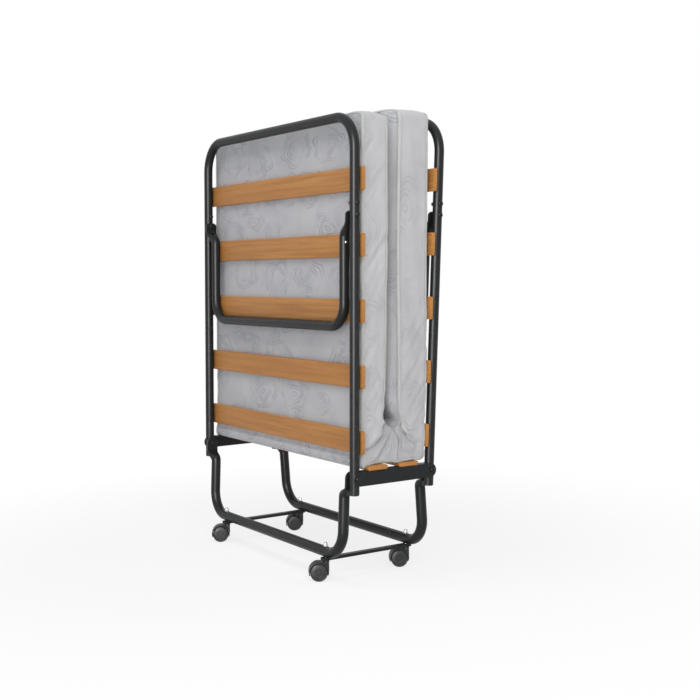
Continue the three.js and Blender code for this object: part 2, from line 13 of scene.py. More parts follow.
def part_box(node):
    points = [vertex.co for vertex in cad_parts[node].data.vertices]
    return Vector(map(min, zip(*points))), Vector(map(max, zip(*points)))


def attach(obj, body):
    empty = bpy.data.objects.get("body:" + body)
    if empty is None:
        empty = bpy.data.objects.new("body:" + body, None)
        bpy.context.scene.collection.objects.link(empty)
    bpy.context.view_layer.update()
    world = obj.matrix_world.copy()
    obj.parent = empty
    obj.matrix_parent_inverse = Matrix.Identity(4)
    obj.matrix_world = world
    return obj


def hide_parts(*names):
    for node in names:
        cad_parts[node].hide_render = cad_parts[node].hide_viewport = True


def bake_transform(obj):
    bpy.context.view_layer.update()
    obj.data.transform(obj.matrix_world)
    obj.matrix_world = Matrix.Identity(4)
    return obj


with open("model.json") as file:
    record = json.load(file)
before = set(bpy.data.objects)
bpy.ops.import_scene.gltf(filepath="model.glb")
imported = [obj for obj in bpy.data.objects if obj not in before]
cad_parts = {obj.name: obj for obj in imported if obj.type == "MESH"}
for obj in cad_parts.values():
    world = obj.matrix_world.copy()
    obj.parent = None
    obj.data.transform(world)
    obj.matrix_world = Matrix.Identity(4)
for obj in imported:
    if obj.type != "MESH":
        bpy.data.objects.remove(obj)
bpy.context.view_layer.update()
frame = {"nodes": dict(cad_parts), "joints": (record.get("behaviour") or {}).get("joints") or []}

# A folding guest bed, standing folded. Metres, +Z up, -Y the front, as in the frame.

scene = bpy.context.scene
scene.view_settings.view_transform = "Standard"
random.seed(11)

jointOf = {joint["name"]: joint for joint in frame["joints"]}
sides = [(1, "right"), (-1, "left")]
ends = [(-1, "front"), (1, "rear")]
hinges = (Vector(jointOf["front_frame_fold"]["pos_m"]) + Vector(jointOf["rear_frame_fold"]["pos_m"])) / 2
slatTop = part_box("centre_slat_front")[1].z


# Meshes

def makeObject(name, data):
    made = bpy.data.objects.new(name, data)
    scene.collection.objects.link(made)
    return made


def makeMesh(name, points, faces, uvs=None):
    mesh = bpy.data.meshes.new(name)
    mesh.from_pydata([tuple(point) for point in points], [], faces)
    if uvs:
        layer = mesh.uv_layers.new(name="metres")
        for polygon, corners in zip(mesh.polygons, uvs):
            for loop, corner in zip(polygon.loop_indices, corners):
                layer.data[loop].uv = corner
    return mesh


def makePiece(name, part, material, body=None, node=None, sharpAngle=35, uvs=None):
    mesh = makeMesh(name, *part, uvs)
    mesh.materials.append(material)
    mesh.shade_smooth()
    mesh.set_sharp_from_angle(angle=math.radians(sharpAngle))
    piece = makeObject(name, mesh)
    if body:
        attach(piece, body)
    if node:
        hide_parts(node)
    return piece


def skin(rings, closed=False, caps=True):
    # Joins rings of equally many points into one surface; closed joins the last ring to the first.
    count = len(rings[0])
    points = [point for ring in rings for point in ring]
    faces = []
    caps = caps and not closed
    last = len(rings) if closed else len(rings) - 1
    for i in range(last):
        near = i * count
        far = ((i + 1) % len(rings)) * count
        for j in range(count):
            k = (j + 1) % count
            faces.append((near + j, near + k, far + k, far + j))
    if caps:
        faces.append(tuple(reversed(range(count))))
        faces.append(tuple(range(last * count, (last + 1) * count)))
    return points, faces


def merge(parts):
    points, faces = [], []
    for partPoints, partFaces in parts:
        base = len(points)
        points += partPoints
        faces += [tuple(base + i for i in face) for face in partFaces]
    return points, faces


def moved(part, matrix):
    points, faces = part
    return [matrix @ Vector(point) for point in points], faces


def turned(profile, segments):
    # A turned solid about Z. The profile is (radius, height) from the bottom up, and starts and ends on the
    # axis.
    angles = [2 * math.pi * i / segments for i in range(segments)]
    rings = [
        [Vector((radius * math.cos(angle), radius * math.sin(angle), height)) for angle in angles]
        for radius, height in profile[1:-1]
    ]
    points, faces = skin(rings, caps=False)
    faces += [(len(points), (i + 1) % segments, i) for i in range(segments)]
    points.append(Vector((0, 0, profile[0][1])))
    base = (len(rings) - 1) * segments
    faces += [(len(points), base + i, base + (i + 1) % segments) for i in range(segments)]
    points.append(Vector((0, 0, profile[-1][1])))
    return points, faces


def arcPoints(centre, radius, start, end, steps):
    angles = [math.radians(start + (end - start) * i / steps) for i in range(steps + 1)]
    return [(centre[0] + radius * math.cos(angle), centre[1] + radius * math.sin(angle)) for angle in angles]


def pulledIn(outline, middle, inwards):
    # The points of a flat outline, drawn towards its middle.
    points = []
    for place in outline:
        offset = Vector(place) - middle
        points.append(middle + offset - offset.normalized() * inwards)
    return points


def smooth(value, low, high):
    share = min(max((value - low) / (high - low), 0.0), 1.0)
    return share * share * (3 - 2 * share)


def mix(a, b, share):
    return a + (b - a) * share


def alongAxis(direction, place):
    # Turns a piece made along Z to a direction, at a place.
    return Matrix.Translation(place) @ Vector(direction).to_track_quat("Z", "Y").to_matrix().to_4x4()


# Materials

def nodeOf(tree, kind, **values):
    node = tree.nodes.new(kind)
    for key, value in values.items():
        setattr(node, key, value)
    return node


def newGroup(name, inputs, outputs):
    # Inputs are (name, default), with None for a vector; the outputs are all values.
    group = bpy.data.node_groups.new(name, "ShaderNodeTree")
    for socketName, value in inputs:
        kind = "NodeSocketVector" if value is None else "NodeSocketFloat"
        socket = group.interface.new_socket(name=socketName, in_out="INPUT", socket_type=kind)
        if value is not None:
            socket.default_value = value
    for socketName in outputs:
        group.interface.new_socket(name=socketName, in_out="OUTPUT", socket_type="NodeSocketFloat")
    return group, group.nodes.new("NodeGroupInput").outputs, group.nodes.new("NodeGroupOutput")


def feed(tree, node, inputs):
    # Sets or links a node's inputs, by name or by number. A colour is given without its alpha.
    for key, value in inputs.items():
        socket = node.inputs[key]
        if isinstance(value, bpy.types.NodeSocket):
            tree.links.new(value, socket)
        elif socket.type == "RGBA":
            socket.default_value = (*value, 1)
        else:
            socket.default_value = value
    return node


def mathNode(tree, operation, *values, clamp=False):
    node = nodeOf(tree, "ShaderNodeMath", operation=operation, use_clamp=clamp)
    return feed(tree, node, dict(enumerate(values))).outputs[0]


def product(tree, *values, clamp=False):
    result = values[0]
    for value in values[1:]:
        result = mathNode(tree, "MULTIPLY", result, value, clamp=clamp and value is values[-1])
    return result


def rampNode(tree, value, low, high, fromValue=0.0, toValue=1.0):
    node = nodeOf(tree, "ShaderNodeMapRange", interpolation_type="SMOOTHSTEP")
    ends = {"From Min": low, "From Max": high, "To Min": fromValue, "To Max": toValue}
    return feed(tree, node, {"Value": value, **ends}).outputs["Result"]


def noiseNode(tree, vector, scale, detail=3.0, roughness=0.5):
    node = nodeOf(tree, "ShaderNodeTexNoise")
    values = {"Vector": vector, "Scale": scale, "Detail": detail, "Roughness": roughness}
    return feed(tree, node, values).outputs["Fac"]


def stretchNode(tree, vector, scale):
    node = nodeOf(tree, "ShaderNodeMapping")
    return feed(tree, node, {"Vector": vector, "Scale": scale}).outputs["Vector"]


def mixColours(tree, share, first, second):
    # Sockets 6 and 7 are the two colours of a mix node.
    node = nodeOf(tree, "ShaderNodeMix", data_type="RGBA")
    return feed(tree, node, {"Factor": share, 6: first, 7: second}).outputs[2]


def splitVector(tree, vector):
    return feed(tree, nodeOf(tree, "ShaderNodeSeparateXYZ"), {0: vector}).outputs


def placeIn(tree):
    return nodeOf(tree, "ShaderNodeTexCoord").outputs["Object"]


def placeGroup(tree, group, **values):
    return feed(tree, nodeOf(tree, "ShaderNodeGroup", node_tree=group), values)


def newMaterial(name):
    material = bpy.data.materials.new(name)
    material.use_nodes = True
    tree = material.node_tree
    return material, tree, tree.nodes["Principled BSDF"]


def bumpInto(tree, shader, height, strength, distance):
    bump = nodeOf(tree, "ShaderNodeBump")
    feed(tree, bump, {"Strength": strength, "Distance": distance, "Height": height})
    feed(tree, shader, {"Normal": bump.outputs["Normal"]})


def buildWeaveGroup():
    # A twill of warp and weft threads, with uneven yarn. The vector is in metres.
    values = [("Vector", None), ("Threads", 900.0)]
    group, inputs, output = newGroup("tickingWeave", values, ["Height", "Slub"])
    maths = partial(mathNode, group)
    split = splitVector(group, inputs["Vector"])
    along, across = (product(group, split[i], inputs["Threads"]) for i in (0, 1))
    warp, weft = (maths("SINE", maths("MULTIPLY", value, 2 * math.pi)) for value in (along, across))
    diagonal = maths("SINE", maths("MULTIPLY", maths("ADD", along, across), math.pi))
    threads = maths("ADD", maths("MULTIPLY", warp, 0.3), maths("MULTIPLY", weft, 0.2))
    height = maths("MULTIPLY_ADD", diagonal, 0.35, threads)
    slub = noiseNode(group, stretchNode(group, inputs["Vector"], (40, 420, 1)), 1.0, 2.0)
    feed(group, output, {"Height": maths("MULTIPLY_ADD", height, 0.5, 0.5), "Slub": slub})
    return group


rosette = {
    "wobble": 0.020,
    "wobbleScale": 24,
    "rowShift": 0.5,
    "middle": (0.24, 0.38), # spread and least value of a rosette's middle, in its cell
    "outerPetals": 5,
    "innerPetals": 3,
    "outerRings": ((0.42, 0.045), (0.35, 0.04)), # radius and depth of the petals
    "innerRings": ((0.24, 0.03), (0.175, 0.025), (0.06, 0.0)),
}


def buildRosetteGroup():
    # Petalled rosettes in a brick layout, drawn in double lines, each turned its own way. The vector is in
    # metres. Share is the chance that a cell has one.
    group, inputs, output = newGroup(
        "rosettePrint", [("Vector", None), ("Pitch", 0.1), ("Line", 0.02), ("Share", 1.0)], ["Mask"]
    )
    maths = partial(mathNode, group)
    wobble = nodeOf(group, "ShaderNodeTexNoise")
    feed(group, wobble, {"Vector": inputs["Vector"], "Scale": rosette["wobbleScale"], "Detail": 1})
    shifted = nodeOf(group, "ShaderNodeVectorMath", operation="MULTIPLY_ADD")
    size = (rosette["wobble"], rosette["wobble"], 0)
    feed(group, shifted, {0: wobble.outputs["Color"], 1: size, 2: inputs["Vector"]})
    split = splitVector(group, shifted.outputs[0])
    row = maths("DIVIDE", split[1], inputs["Pitch"])
    rowIndex = maths("FLOOR", row)
    column = maths("MULTIPLY_ADD", rowIndex, rosette["rowShift"], maths("DIVIDE", split[0], inputs["Pitch"]))
    cell = feed(group, nodeOf(group, "ShaderNodeCombineXYZ"), {0: maths("FLOOR", column), 1: rowIndex})
    chance = nodeOf(group, "ShaderNodeTexWhiteNoise", noise_dimensions="2D")
    feed(group, chance, {"Vector": cell.outputs[0]})
    drawn = feed(group, nodeOf(group, "ShaderNodeSeparateColor"), {0: chance.outputs["Color"]}).outputs
    x, y = (
        maths("SUBTRACT", maths("FRACT", place), maths("MULTIPLY_ADD", drawn[i], *rosette["middle"]))
        for i, place in enumerate((column, row))
    )
    radius = maths("SQRT", maths("ADD", product(group, x, x), product(group, y, y)))
    angle = maths("ARCTAN2", y, x)
    turn = maths("MULTIPLY", drawn[2], 2 * math.pi)
    mask = None
    for kind in ("outer", "inner"):
        wave = maths("COSINE", maths("MULTIPLY_ADD", angle, float(rosette[f"{kind}Petals"]), turn))
        for level, depth in rosette[f"{kind}Rings"]:
            gap = maths("ABSOLUTE", maths("SUBTRACT", radius, maths("MULTIPLY_ADD", wave, depth, level)))
            ring = maths("SUBTRACT", 1.0, maths("DIVIDE", gap, inputs["Line"]), clamp=True)
            mask = maths("MAXIMUM", mask, ring) if mask else ring
    feed(group, output, {"Mask": product(group, mask, maths("LESS_THAN", drawn[0], inputs["Share"]))})
    return group


def buildGrainGroup():
    # Beech: long faint growth bands, short dark flecks and fine pores, all along the first axis.
    group, inputs, output = newGroup("beechGrain", [("Vector", None)], ["Bands", "Flecks", "Pores"])
    bands, flecks, pores = (
        noiseNode(group, stretchNode(group, inputs["Vector"], scale), 1.0, detail, roughness)
        for scale, detail, roughness in (
            ((3.5, 90, 90), 4.0, 0.6), ((60, 900, 900), 2.0, 0.5), ((160, 2600, 2600), 2.0, 0.6)
        )
    )
    bands, flecks = rampNode(group, bands, 0.3, 0.7), rampNode(group, flecks, 0.6, 0.74)
    feed(group, output, {"Bands": bands, "Flecks": flecks, "Pores": pores})
    return group


def buildWearGroup():
    # Wear on sharp edges, broken up by noise, from how sharply the surface turns.
    group, inputs, output = newGroup("edgeWear", [("Amount", 0.5), ("Scale", 60.0)], ["Mask"])
    edges = rampNode(group, nodeOf(group, "ShaderNodeNewGeometry").outputs["Pointiness"], 0.53, 0.62)
    patches = rampNode(group, noiseNode(group, placeIn(group), inputs["Scale"], 4.0), 0.42, 0.62)
    feed(group, output, {"Mask": product(group, edges, patches, inputs["Amount"], clamp=True)})
    return group


def buildDustGroup():
    # Fine dust that lies thicker on what faces up.
    group, inputs, output = newGroup("dust", [("Amount", 0.3)], ["Mask"])
    up = splitVector(group, nodeOf(group, "ShaderNodeNewGeometry").outputs["Normal"])[2]
    facing = rampNode(group, up, -0.2, 1.0)
    patches = noiseNode(group, placeIn(group), 35.0, 5.0, 0.6)
    feed(group, output, {"Mask": product(group, facing, patches, inputs["Amount"], clamp=True)})
    return group


weaveGroup = buildWeaveGroup()
rosetteGroup = buildRosetteGroup()
grainGroup = buildGrainGroup()
wearGroup = buildWearGroup()
dustGroup = buildDustGroup()


def soiled(tree, colour, group, tint, **values):
    # A colour with one of the mask groups over it, and that group's mask.
    mask = placeGroup(tree, group, **values).outputs["Mask"]
    return mixColours(tree, mask, colour, tint), mask


def buildPaint():
    # Charcoal gloss powder paint with a light orange peel.
    look = {
        "colour": (0.0115, 0.0127, 0.0132),
        "tone": 1.18,
        "worn": (0.05, 0.052, 0.052),
        "dust": (0.14, 0.14, 0.135),
        "roughness": 0.37,
        "specular": 0.18,
    }
    material, tree, shader = newMaterial("framePaint")
    place = placeIn(tree)
    tone = tuple(value * look["tone"] for value in look["colour"])
    colour = mixColours(tree, noiseNode(tree, place, 18.0, 3.0), look["colour"], tone)
    colour, _ = soiled(tree, colour, wearGroup, look["worn"], Amount=0.3, Scale=90.0)
    colour, dust = soiled(tree, colour, dustGroup, look["dust"], Amount=0.05)
    smears = noiseNode(tree, place, 30.0, 4.0, 0.6)
    rough = rampNode(tree, smears, 0.3, 0.75, look["roughness"] - 0.02, look["roughness"] + 0.04)
    rough = mathNode(tree, "ADD", rough, mathNode(tree, "MULTIPLY", dust, 0.5))
    feed(tree, shader, {"Base Color": colour, "Roughness": rough, "Specular IOR Level": look["specular"]})
    bumpInto(tree, shader, noiseNode(tree, place, 420.0, 2.0), 0.12, 0.0006)
    return material


def buildBeech():
    look = {
        "pale": (0.54, 0.248, 0.064),
        "deep": (0.39, 0.155, 0.034),
        "fleck": (0.25, 0.090, 0.022),
        "broad": (0.47, 0.185, 0.04),
        "dust": (0.6, 0.5, 0.4),
        "specular": 0.25,
        "coat": 0.07,
        "coatRoughness": 0.3,
    }
    material, tree, shader = newMaterial("beechSlat")
    uv = nodeOf(tree, "ShaderNodeUVMap", uv_map="metres").outputs["UV"]
    bands, flecks, pores = placeGroup(tree, grainGroup, Vector=uv).outputs
    colour = mixColours(tree, bands, look["pale"], look["deep"])
    colour = mixColours(tree, mathNode(tree, "MULTIPLY", flecks, 0.45), colour, look["fleck"])
    broad = noiseNode(tree, stretchNode(tree, uv, (1.2, 3, 3)), 1.0, 1.0)
    colour = mixColours(tree, rampNode(tree, broad, 0.35, 0.7, 0.0, 0.4), colour, look["broad"])
    colour, _ = soiled(tree, colour, dustGroup, look["dust"], Amount=0.06)
    feed(tree, shader, {
        "Base Color": colour,
        "Roughness": mathNode(tree, "MULTIPLY_ADD", pores, 0.25, 0.34),
        "Specular IOR Level": look["specular"],
        "Coat Weight": look["coat"],
        "Coat Roughness": look["coatRoughness"],
    })
    height = mathNode(tree, "ADD", pores, mathNode(tree, "MULTIPLY", flecks, -0.6))
    bumpInto(tree, shader, height, 0.25, 0.0003)
    return material


def buildZinc():
    look = {"dull": (0.52, 0.53, 0.54), "bright": (0.66, 0.66, 0.65)}
    material, tree, shader = newMaterial("brightZinc")
    place = placeIn(tree)
    patches = noiseNode(tree, place, 260.0, 3.0)
    colour = mixColours(tree, patches, look["dull"], look["bright"])
    rough = rampNode(tree, patches, 0.3, 0.7, 0.18, 0.34)
    feed(tree, shader, {"Base Color": colour, "Metallic": 1.0, "Roughness": rough})
    bumpInto(tree, shader, noiseNode(tree, place, 900.0, 2.0), 0.08, 0.0003)
    return material


def buildPlastic():
    look = {
        "colour": (0.016, 0.017, 0.019),
        "tone": (0.027, 0.028, 0.031),
        "scuffed": (0.08, 0.08, 0.08),
        "dust": (0.25, 0.24, 0.23),
        "specular": 0.3,
    }
    material, tree, shader = newMaterial("mouldedNylon")
    place = placeIn(tree)
    shade = noiseNode(tree, place, 70.0, 3.0)
    colour = mixColours(tree, shade, look["colour"], look["tone"])
    colour, _ = soiled(tree, colour, wearGroup, look["scuffed"], Amount=0.6, Scale=220.0)
    colour, _ = soiled(tree, colour, dustGroup, look["dust"], Amount=0.18)
    rough = rampNode(tree, shade, 0.3, 0.7, 0.38, 0.55)
    feed(tree, shader, {"Base Color": colour, "Roughness": rough, "Specular IOR Level": look["specular"]})
    bumpInto(tree, shader, noiseNode(tree, place, 1400.0, 2.0), 0.15, 0.0002)
    return material


cloth = {
    "line": (0.315, 0.315, 0.350),
    "large": (0.104, 0.028, 0.75), # pitch, line width and share of the cells
    "small": (0.104 * 0.62, 0.042, 0.35),
    "smallStrength": 0.7,
    "threads": 620.0,
    "stretch": (0.62, 1, 1), # makes the rosettes wider than high
    "specular": 0.3,
    "sheen": 0.18,
    "sheenRoughness": 0.4,
    # painted shade in the creases of the fold: how strongly it darkens, and how dark against the darker tone
    "paintedShadeStrength": 0.7,
    "paintedShadeTone": 0.42,
    "wrinkles": 5.0,
}


def rosettes(tree, vector, size):
    pitch, line, share = size
    return placeGroup(tree, rosetteGroup, Vector=vector, Pitch=pitch, Line=line, Share=share).outputs["Mask"]


def printShare(tree, uv):
    # The print: large and small rosettes that fade in and out, and are fainter on the borders.
    wide = stretchNode(tree, uv, cloth["stretch"])
    large = rosettes(tree, wide, cloth["large"])
    turnedUv = nodeOf(tree, "ShaderNodeMapping")
    feed(tree, turnedUv, {"Vector": wide, "Location": (0.37, 0.21, 0), "Rotation": (0, 0, 0.5)})
    small = rosettes(tree, turnedUv.outputs["Vector"], cloth["small"])
    lines = mathNode(tree, "MAXIMUM", large, mathNode(tree, "MULTIPLY", small, cloth["smallStrength"]))
    fading = rampNode(tree, noiseNode(tree, uv, 16.0, 2.0), 0.38, 0.62, 0.12, 0.95)
    onBorder = rampNode(tree, splitVector(tree, uv)[0], 2.3, 2.5, 1.0, 0.45)
    return product(tree, lines, fading, onBorder)


def buildTicking(name, printed, base, shaded):
    # Woven ticking: a satin weave with a faint tone-on-tone print.
    material, tree, shader = newMaterial(name)
    uv = nodeOf(tree, "ShaderNodeUVMap", uv_map="metres").outputs["UV"]
    threads, slub = placeGroup(tree, weaveGroup, Vector=uv, Threads=cloth["threads"]).outputs
    clouds = noiseNode(tree, uv, 9.0, 4.0, 0.6)
    colour = mixColours(tree, rampNode(tree, clouds, 0.3, 0.75), base, shaded)
    slubShare = rampNode(tree, slub, 0.5, 0.8, 0.0, 0.16)
    colour = mixColours(tree, slubShare, colour, tuple(value * 0.8 for value in base))
    if printed:
        colour = mixColours(tree, printShare(tree, uv), colour, cloth["line"])
    # Painted shade: the cloth is darkened where the sculpted creases and gather valleys are, from a value
    # stored on the mesh.
    paintedShade = nodeOf(tree, "ShaderNodeAttribute", attribute_name="paintedShade")
    paintedShadeStrength = mathNode(tree, "MULTIPLY", paintedShade.outputs["Fac"], cloth["paintedShadeStrength"])
    colour = mixColours(tree, paintedShadeStrength, colour, tuple(value * cloth["paintedShadeTone"] for value in shaded))
    feed(tree, shader, {
        "Base Color": colour,
        "Roughness": rampNode(tree, clouds, 0.3, 0.7, 0.78, 0.9),
        "Specular IOR Level": cloth["specular"],
        "Sheen Weight": cloth["sheen"],
        "Sheen Roughness": cloth["sheenRoughness"],
    })
    wrinkles = noiseNode(tree, stretchNode(tree, uv, (30, 12, 1)), 1.0, 3.0)
    height = mathNode(
        tree, "MULTIPLY_ADD", wrinkles, cloth["wrinkles"], mathNode(tree, "MULTIPLY", threads, 0.35)
    )
    bumpInto(tree, shader, height, 0.35, 0.0009)
    return material


paint = buildPaint()
beech = buildBeech()
zinc = buildZinc()
plastic = buildPlastic()
ticking = buildTicking("tickingCloth", True, (0.525, 0.52, 0.525), (0.455, 0.45, 0.465))
binding = buildTicking("bindingTape", False, (0.495, 0.505, 0.485), (0.44, 0.45, 0.435))
print("materials ready")


# Tubes

tube = {
    "radius": 0.012,
    "wall": 0.0015,
    "sides": 32,
    "bendSteps": 18,
    "jogSteps": 14,
    "squareness": 0.4, # of a flattened end; 1 is an oval
}


def uRoute(armEnd, barLevel, inset, bend, endInset=None, jogTop=0.0, jogBottom=0.0, endLevels=()):
    # Half a U in a flat frame of (across, along), from the end of one arm to the middle of the bar, then
    # mirrored.
    endInset = inset if endInset is None else endInset
    half = [(endInset, armEnd)] + [(endInset, level) for level in endLevels]
    if endInset != inset:
        middle = (jogTop + jogBottom) / 2
        for i in range(tube["jogSteps"] + 1):
            f = i / tube["jogSteps"]
            across = mix(endInset, inset, 3 * f * f - 2 * f ** 3)
            along = (1 - f) ** 3 * jogTop + 3 * f * (1 - f) * middle + f ** 3 * jogBottom
            half.append((across, along))
    direction = -1 if armEnd > barLevel else 1
    centre = (inset - bend, barLevel - direction * bend)
    half += arcPoints(centre, bend, 0, 90 * direction, tube["bendSteps"])
    return half + [(-across, along) for across, along in reversed(half)]


def roundSection(point):
    return tube["radius"], tube["radius"], 0.0


def flattenedSection(radius, flatFrom, flatTo, pivot, rise):
    # Goes from round to flat between two levels; the flat end is rounded over the rise above the pivot.
    roundTo = rise + flat["blunt"]

    def sectionAt(point):
        level = point[1]
        share = smooth(level, flatFrom, flatTo)
        halfWidth = flat["width"] / 2 * math.sqrt(max(1 - max((level - pivot) / roundTo, 0.0) ** 2, 0.0))
        return mix(radius, halfWidth, share), mix(radius, flat["thickness"] / 2, share), share
    return sectionAt


def tubeAlong(route, sectionAt, openEnds=True):
    # The route's own frame is X across and Z along, with Y out of its plane.
    sides = tube["sides"]

    def ringAt(index, shrink):
        x, z = route[index]
        before = Vector(route[index]) - Vector(route[max(index - 1, 0)])
        after = Vector(route[min(index + 1, len(route) - 1)]) - Vector(route[index])
        along = (before.normalized() + after.normalized()).normalized()
        wide, deep, flat = sectionAt(route[index])
        points = []
        for i in range(sides):
            angle = 2 * math.pi * (i + 0.5) / sides
            out, level = math.cos(angle), math.sin(angle)
            squared = math.copysign(abs(level) ** tube["squareness"], level)
            depth = (deep - shrink) * mix(level, squared, flat)
            width = (wide - shrink) * out
            points.append(Vector((x - along.y * depth, width, z + along.x * depth)))
        return points

    outer = [ringAt(i, 0) for i in range(len(route))]
    if not openEnds:
        return skin(outer)
    inner = [ringAt(i, tube["wall"]) for i in reversed(range(len(route)))]
    return skin(outer + inner, closed=True)


# Half beds

halfBed = {
    "width": 0.802,
    "reach": 0.873,
    "bend": 0.080,
    "stub": 0.039,
    "plugDepth": 0.014,
    "plugProud": 0.0022,
    "slats": 5,
}
tubeInset = halfBed["width"] / 2 - tube["radius"]
endLeg = {
    "inset": 0.0455,
    "bend": 0.058,
    "endRise": 0.009,
    "jogTop": 0.010,
    "jogBottom": 0.054,
    "flatFrom": 0.043,
    "flatTo": 0.014,
    "footClearance": 0.0005,
    "buttonDrop": 0.0645,
    "buttonTurn": 14,
    "buttonRim": (0.0052, 0.0009), # radius and height
    "button": (0.0032, 0.0026),
}
flat = {
    "thickness": 0.0052,
    "width": 0.034,
    "clearance": 0.0003,
    "blunt": 0.0012,
    "steps": (0.97, 0.9, 0.8, 0.65, 0.45, 0.2, 0.0),
}
flatInset = tubeInset - tube["radius"] - flat["clearance"] - flat["thickness"] / 2


def halfMatrix(label, facing):
    joint = jointOf[f"{label}_frame_fold"]
    lean = math.radians(90 - joint["range_deg"][1])
    turn = Matrix.Identity(4) if facing > 0 else Matrix.Rotation(math.pi, 4, "Z")
    return Matrix.Translation(joint["pos_m"]) @ turn @ Matrix.Rotation(lean, 4, "X")


halves = [("front", 1, halfMatrix("front", 1)), ("rear", -1, halfMatrix("rear", -1))]


def localOf(matrix, node):
    low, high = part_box(node)
    return matrix.inverted() @ ((low + high) / 2)


def buildFrameTubes():
    for label, _, matrix in halves:
        body = f"{label}_frame"
        route = uRoute(-halfBed["stub"], halfBed["reach"] - tube["radius"], tubeInset, halfBed["bend"])
        part = moved(tubeAlong(route, roundSection), matrix)
        makePiece(f"{label}FrameTube", part, paint, body, f"{label}_frame_tube", 40)
        parts = []
        for side, _ in sides:
            end = Matrix.Translation((side * tubeInset, 0, -halfBed["stub"]))
            parts.append(moved(plugPart(), matrix @ (end @ Matrix.Rotation(math.pi, 4, "X"))))
        makePiece(f"{label}FramePlugs", merge(parts), plastic, body)
    print("frame tubes built")


def plugPart():
    bore = tube["radius"] - tube["wall"] - 0.0002
    rim = tube["radius"] - 0.0006
    deep, proud = -halfBed["plugDepth"], halfBed["plugProud"]
    return turned([
        (0, deep), (bore * 0.9, deep), (bore, deep + 0.002), (bore, 0.0001), (rim, 0.0001),
        (rim, proud * 0.4), (rim - 0.001, proud), (rim * 0.5, proud * 1.1), (0, proud * 1.1),
    ], tube["sides"])


def buildEndLegs():
    for label, _, matrix in halves:
        body = f"{label}_leg"
        pivot = localOf(matrix, f"{label}_end_leg_bolt_right").z
        splay = math.radians(jointOf[f"{label}_leg_swing"]["range_deg"][1] - 90)
        length = (hinges.z - tube["radius"] - endLeg["footClearance"]) / math.cos(splay)
        armAt = tubeInset - endLeg["inset"]
        route = uRoute(
            pivot + endLeg["endRise"], pivot - length, armAt, endLeg["bend"], flatInset,
            pivot - endLeg["jogTop"], pivot - endLeg["jogBottom"],
            [pivot + endLeg["endRise"] * share for share in flat["steps"]],
        )
        section = flattenedSection(
            tube["radius"], pivot - endLeg["flatFrom"], pivot - endLeg["flatTo"], pivot, endLeg["endRise"]
        )
        part = moved(tubeAlong(route, section, openEnds=False), matrix)
        makePiece(f"{label}EndLeg", part, paint, body, f"{label}_end_leg", 40)
        rims, buttons = [], []
        turn = math.radians(endLeg["buttonTurn"])
        for side, _ in sides:
            out = Vector((side * math.cos(turn), -math.sin(turn), 0))
            middle = Vector((side * armAt, 0, pivot - endLeg["buttonDrop"]))
            place = alongAxis(matrix.to_3x3() @ out, matrix @ (middle + out * (tube["radius"] - 0.0001)))
            rims.append(moved(domePart(*endLeg["buttonRim"]), place))
            buttons.append(moved(domePart(*endLeg["button"]), place))
        makePiece(f"{label}EndLegRims", merge(rims), plastic, body)
        makePiece(f"{label}EndLegButtons", merge(buttons), zinc, body)
    print("end legs built")


def domePart(radius, height):
    # A dome on a low rim that sinks into the piece below it.
    steps, segments, rim = 6, 24, 0.0004
    profile = [(0, -rim), (radius, -rim), (radius, 0)]
    for i in range(1, steps):
        angle = math.pi / 2 * i / steps
        profile.append((radius * math.cos(angle), height * math.sin(angle)))
    profile.append((0, height))
    return turned(profile, segments)


# Bolts

bolt = {
    "radius": 0.004,
    "headRadius": 0.0065,
    "headHeight": 0.0045,
    "headRim": 0.0014,
    "nubRadius": 0.0052,
    "nubLength": 0.009,
    "nubRound": 0.002,
    "farRim": 0.001, # more than the head's rim
    "domeSteps": 6,
    "segments": 32,
}


def headPart(radius, height, rim, socket=True):
    # A domed head standing on Z = 0, with a hexagon socket in its crown.
    profile = [(0, 0), (radius - 0.0003, 0), (radius, 0.0003), (radius, rim)]
    steps = bolt["domeSteps"]
    for i in range(1, steps):
        angle = math.pi / 2 * i / steps
        profile.append((radius * math.cos(angle) ** 0.8, mix(rim, height, math.sin(angle))))
    if socket:
        profile[-1] = (radius * 0.42, height)
        profile += [(radius * 0.36, height - 0.0004), (radius * 0.34, height - 0.0018), (0, height - 0.0018)]
    else:
        profile.append((0, height))
    return turned(profile, bolt["segments"])


def boltPart(outside, inside, nub, side):
    # Lies along X with its head outside; outside and inside are the faces it holds together.
    length = outside - inside
    radius, height, rim = bolt["headRadius"], bolt["headHeight"], bolt["headRim"]
    shank = turned([(0, 0), (bolt["radius"], 0), (bolt["radius"], length), (0, length)], bolt["segments"])
    if nub:
        nubLength = bolt["nubLength"]
        end = headPart(bolt["nubRadius"], nubLength, nubLength - bolt["nubRound"], socket=False)
    else:
        end = headPart(radius, height, rim + bolt["farRim"], socket=False)
    part = merge([
        moved(shank, alongAxis((1, 0, 0), (inside, 0, 0))),
        moved(headPart(radius, height, rim), alongAxis((1, 0, 0), (outside, 0, 0))),
        moved(end, alongAxis((-1, 0, 0), (inside, 0, 0))),
    ])
    return part if side > 0 else moved(part, Matrix.Rotation(math.pi, 4, "Z"))


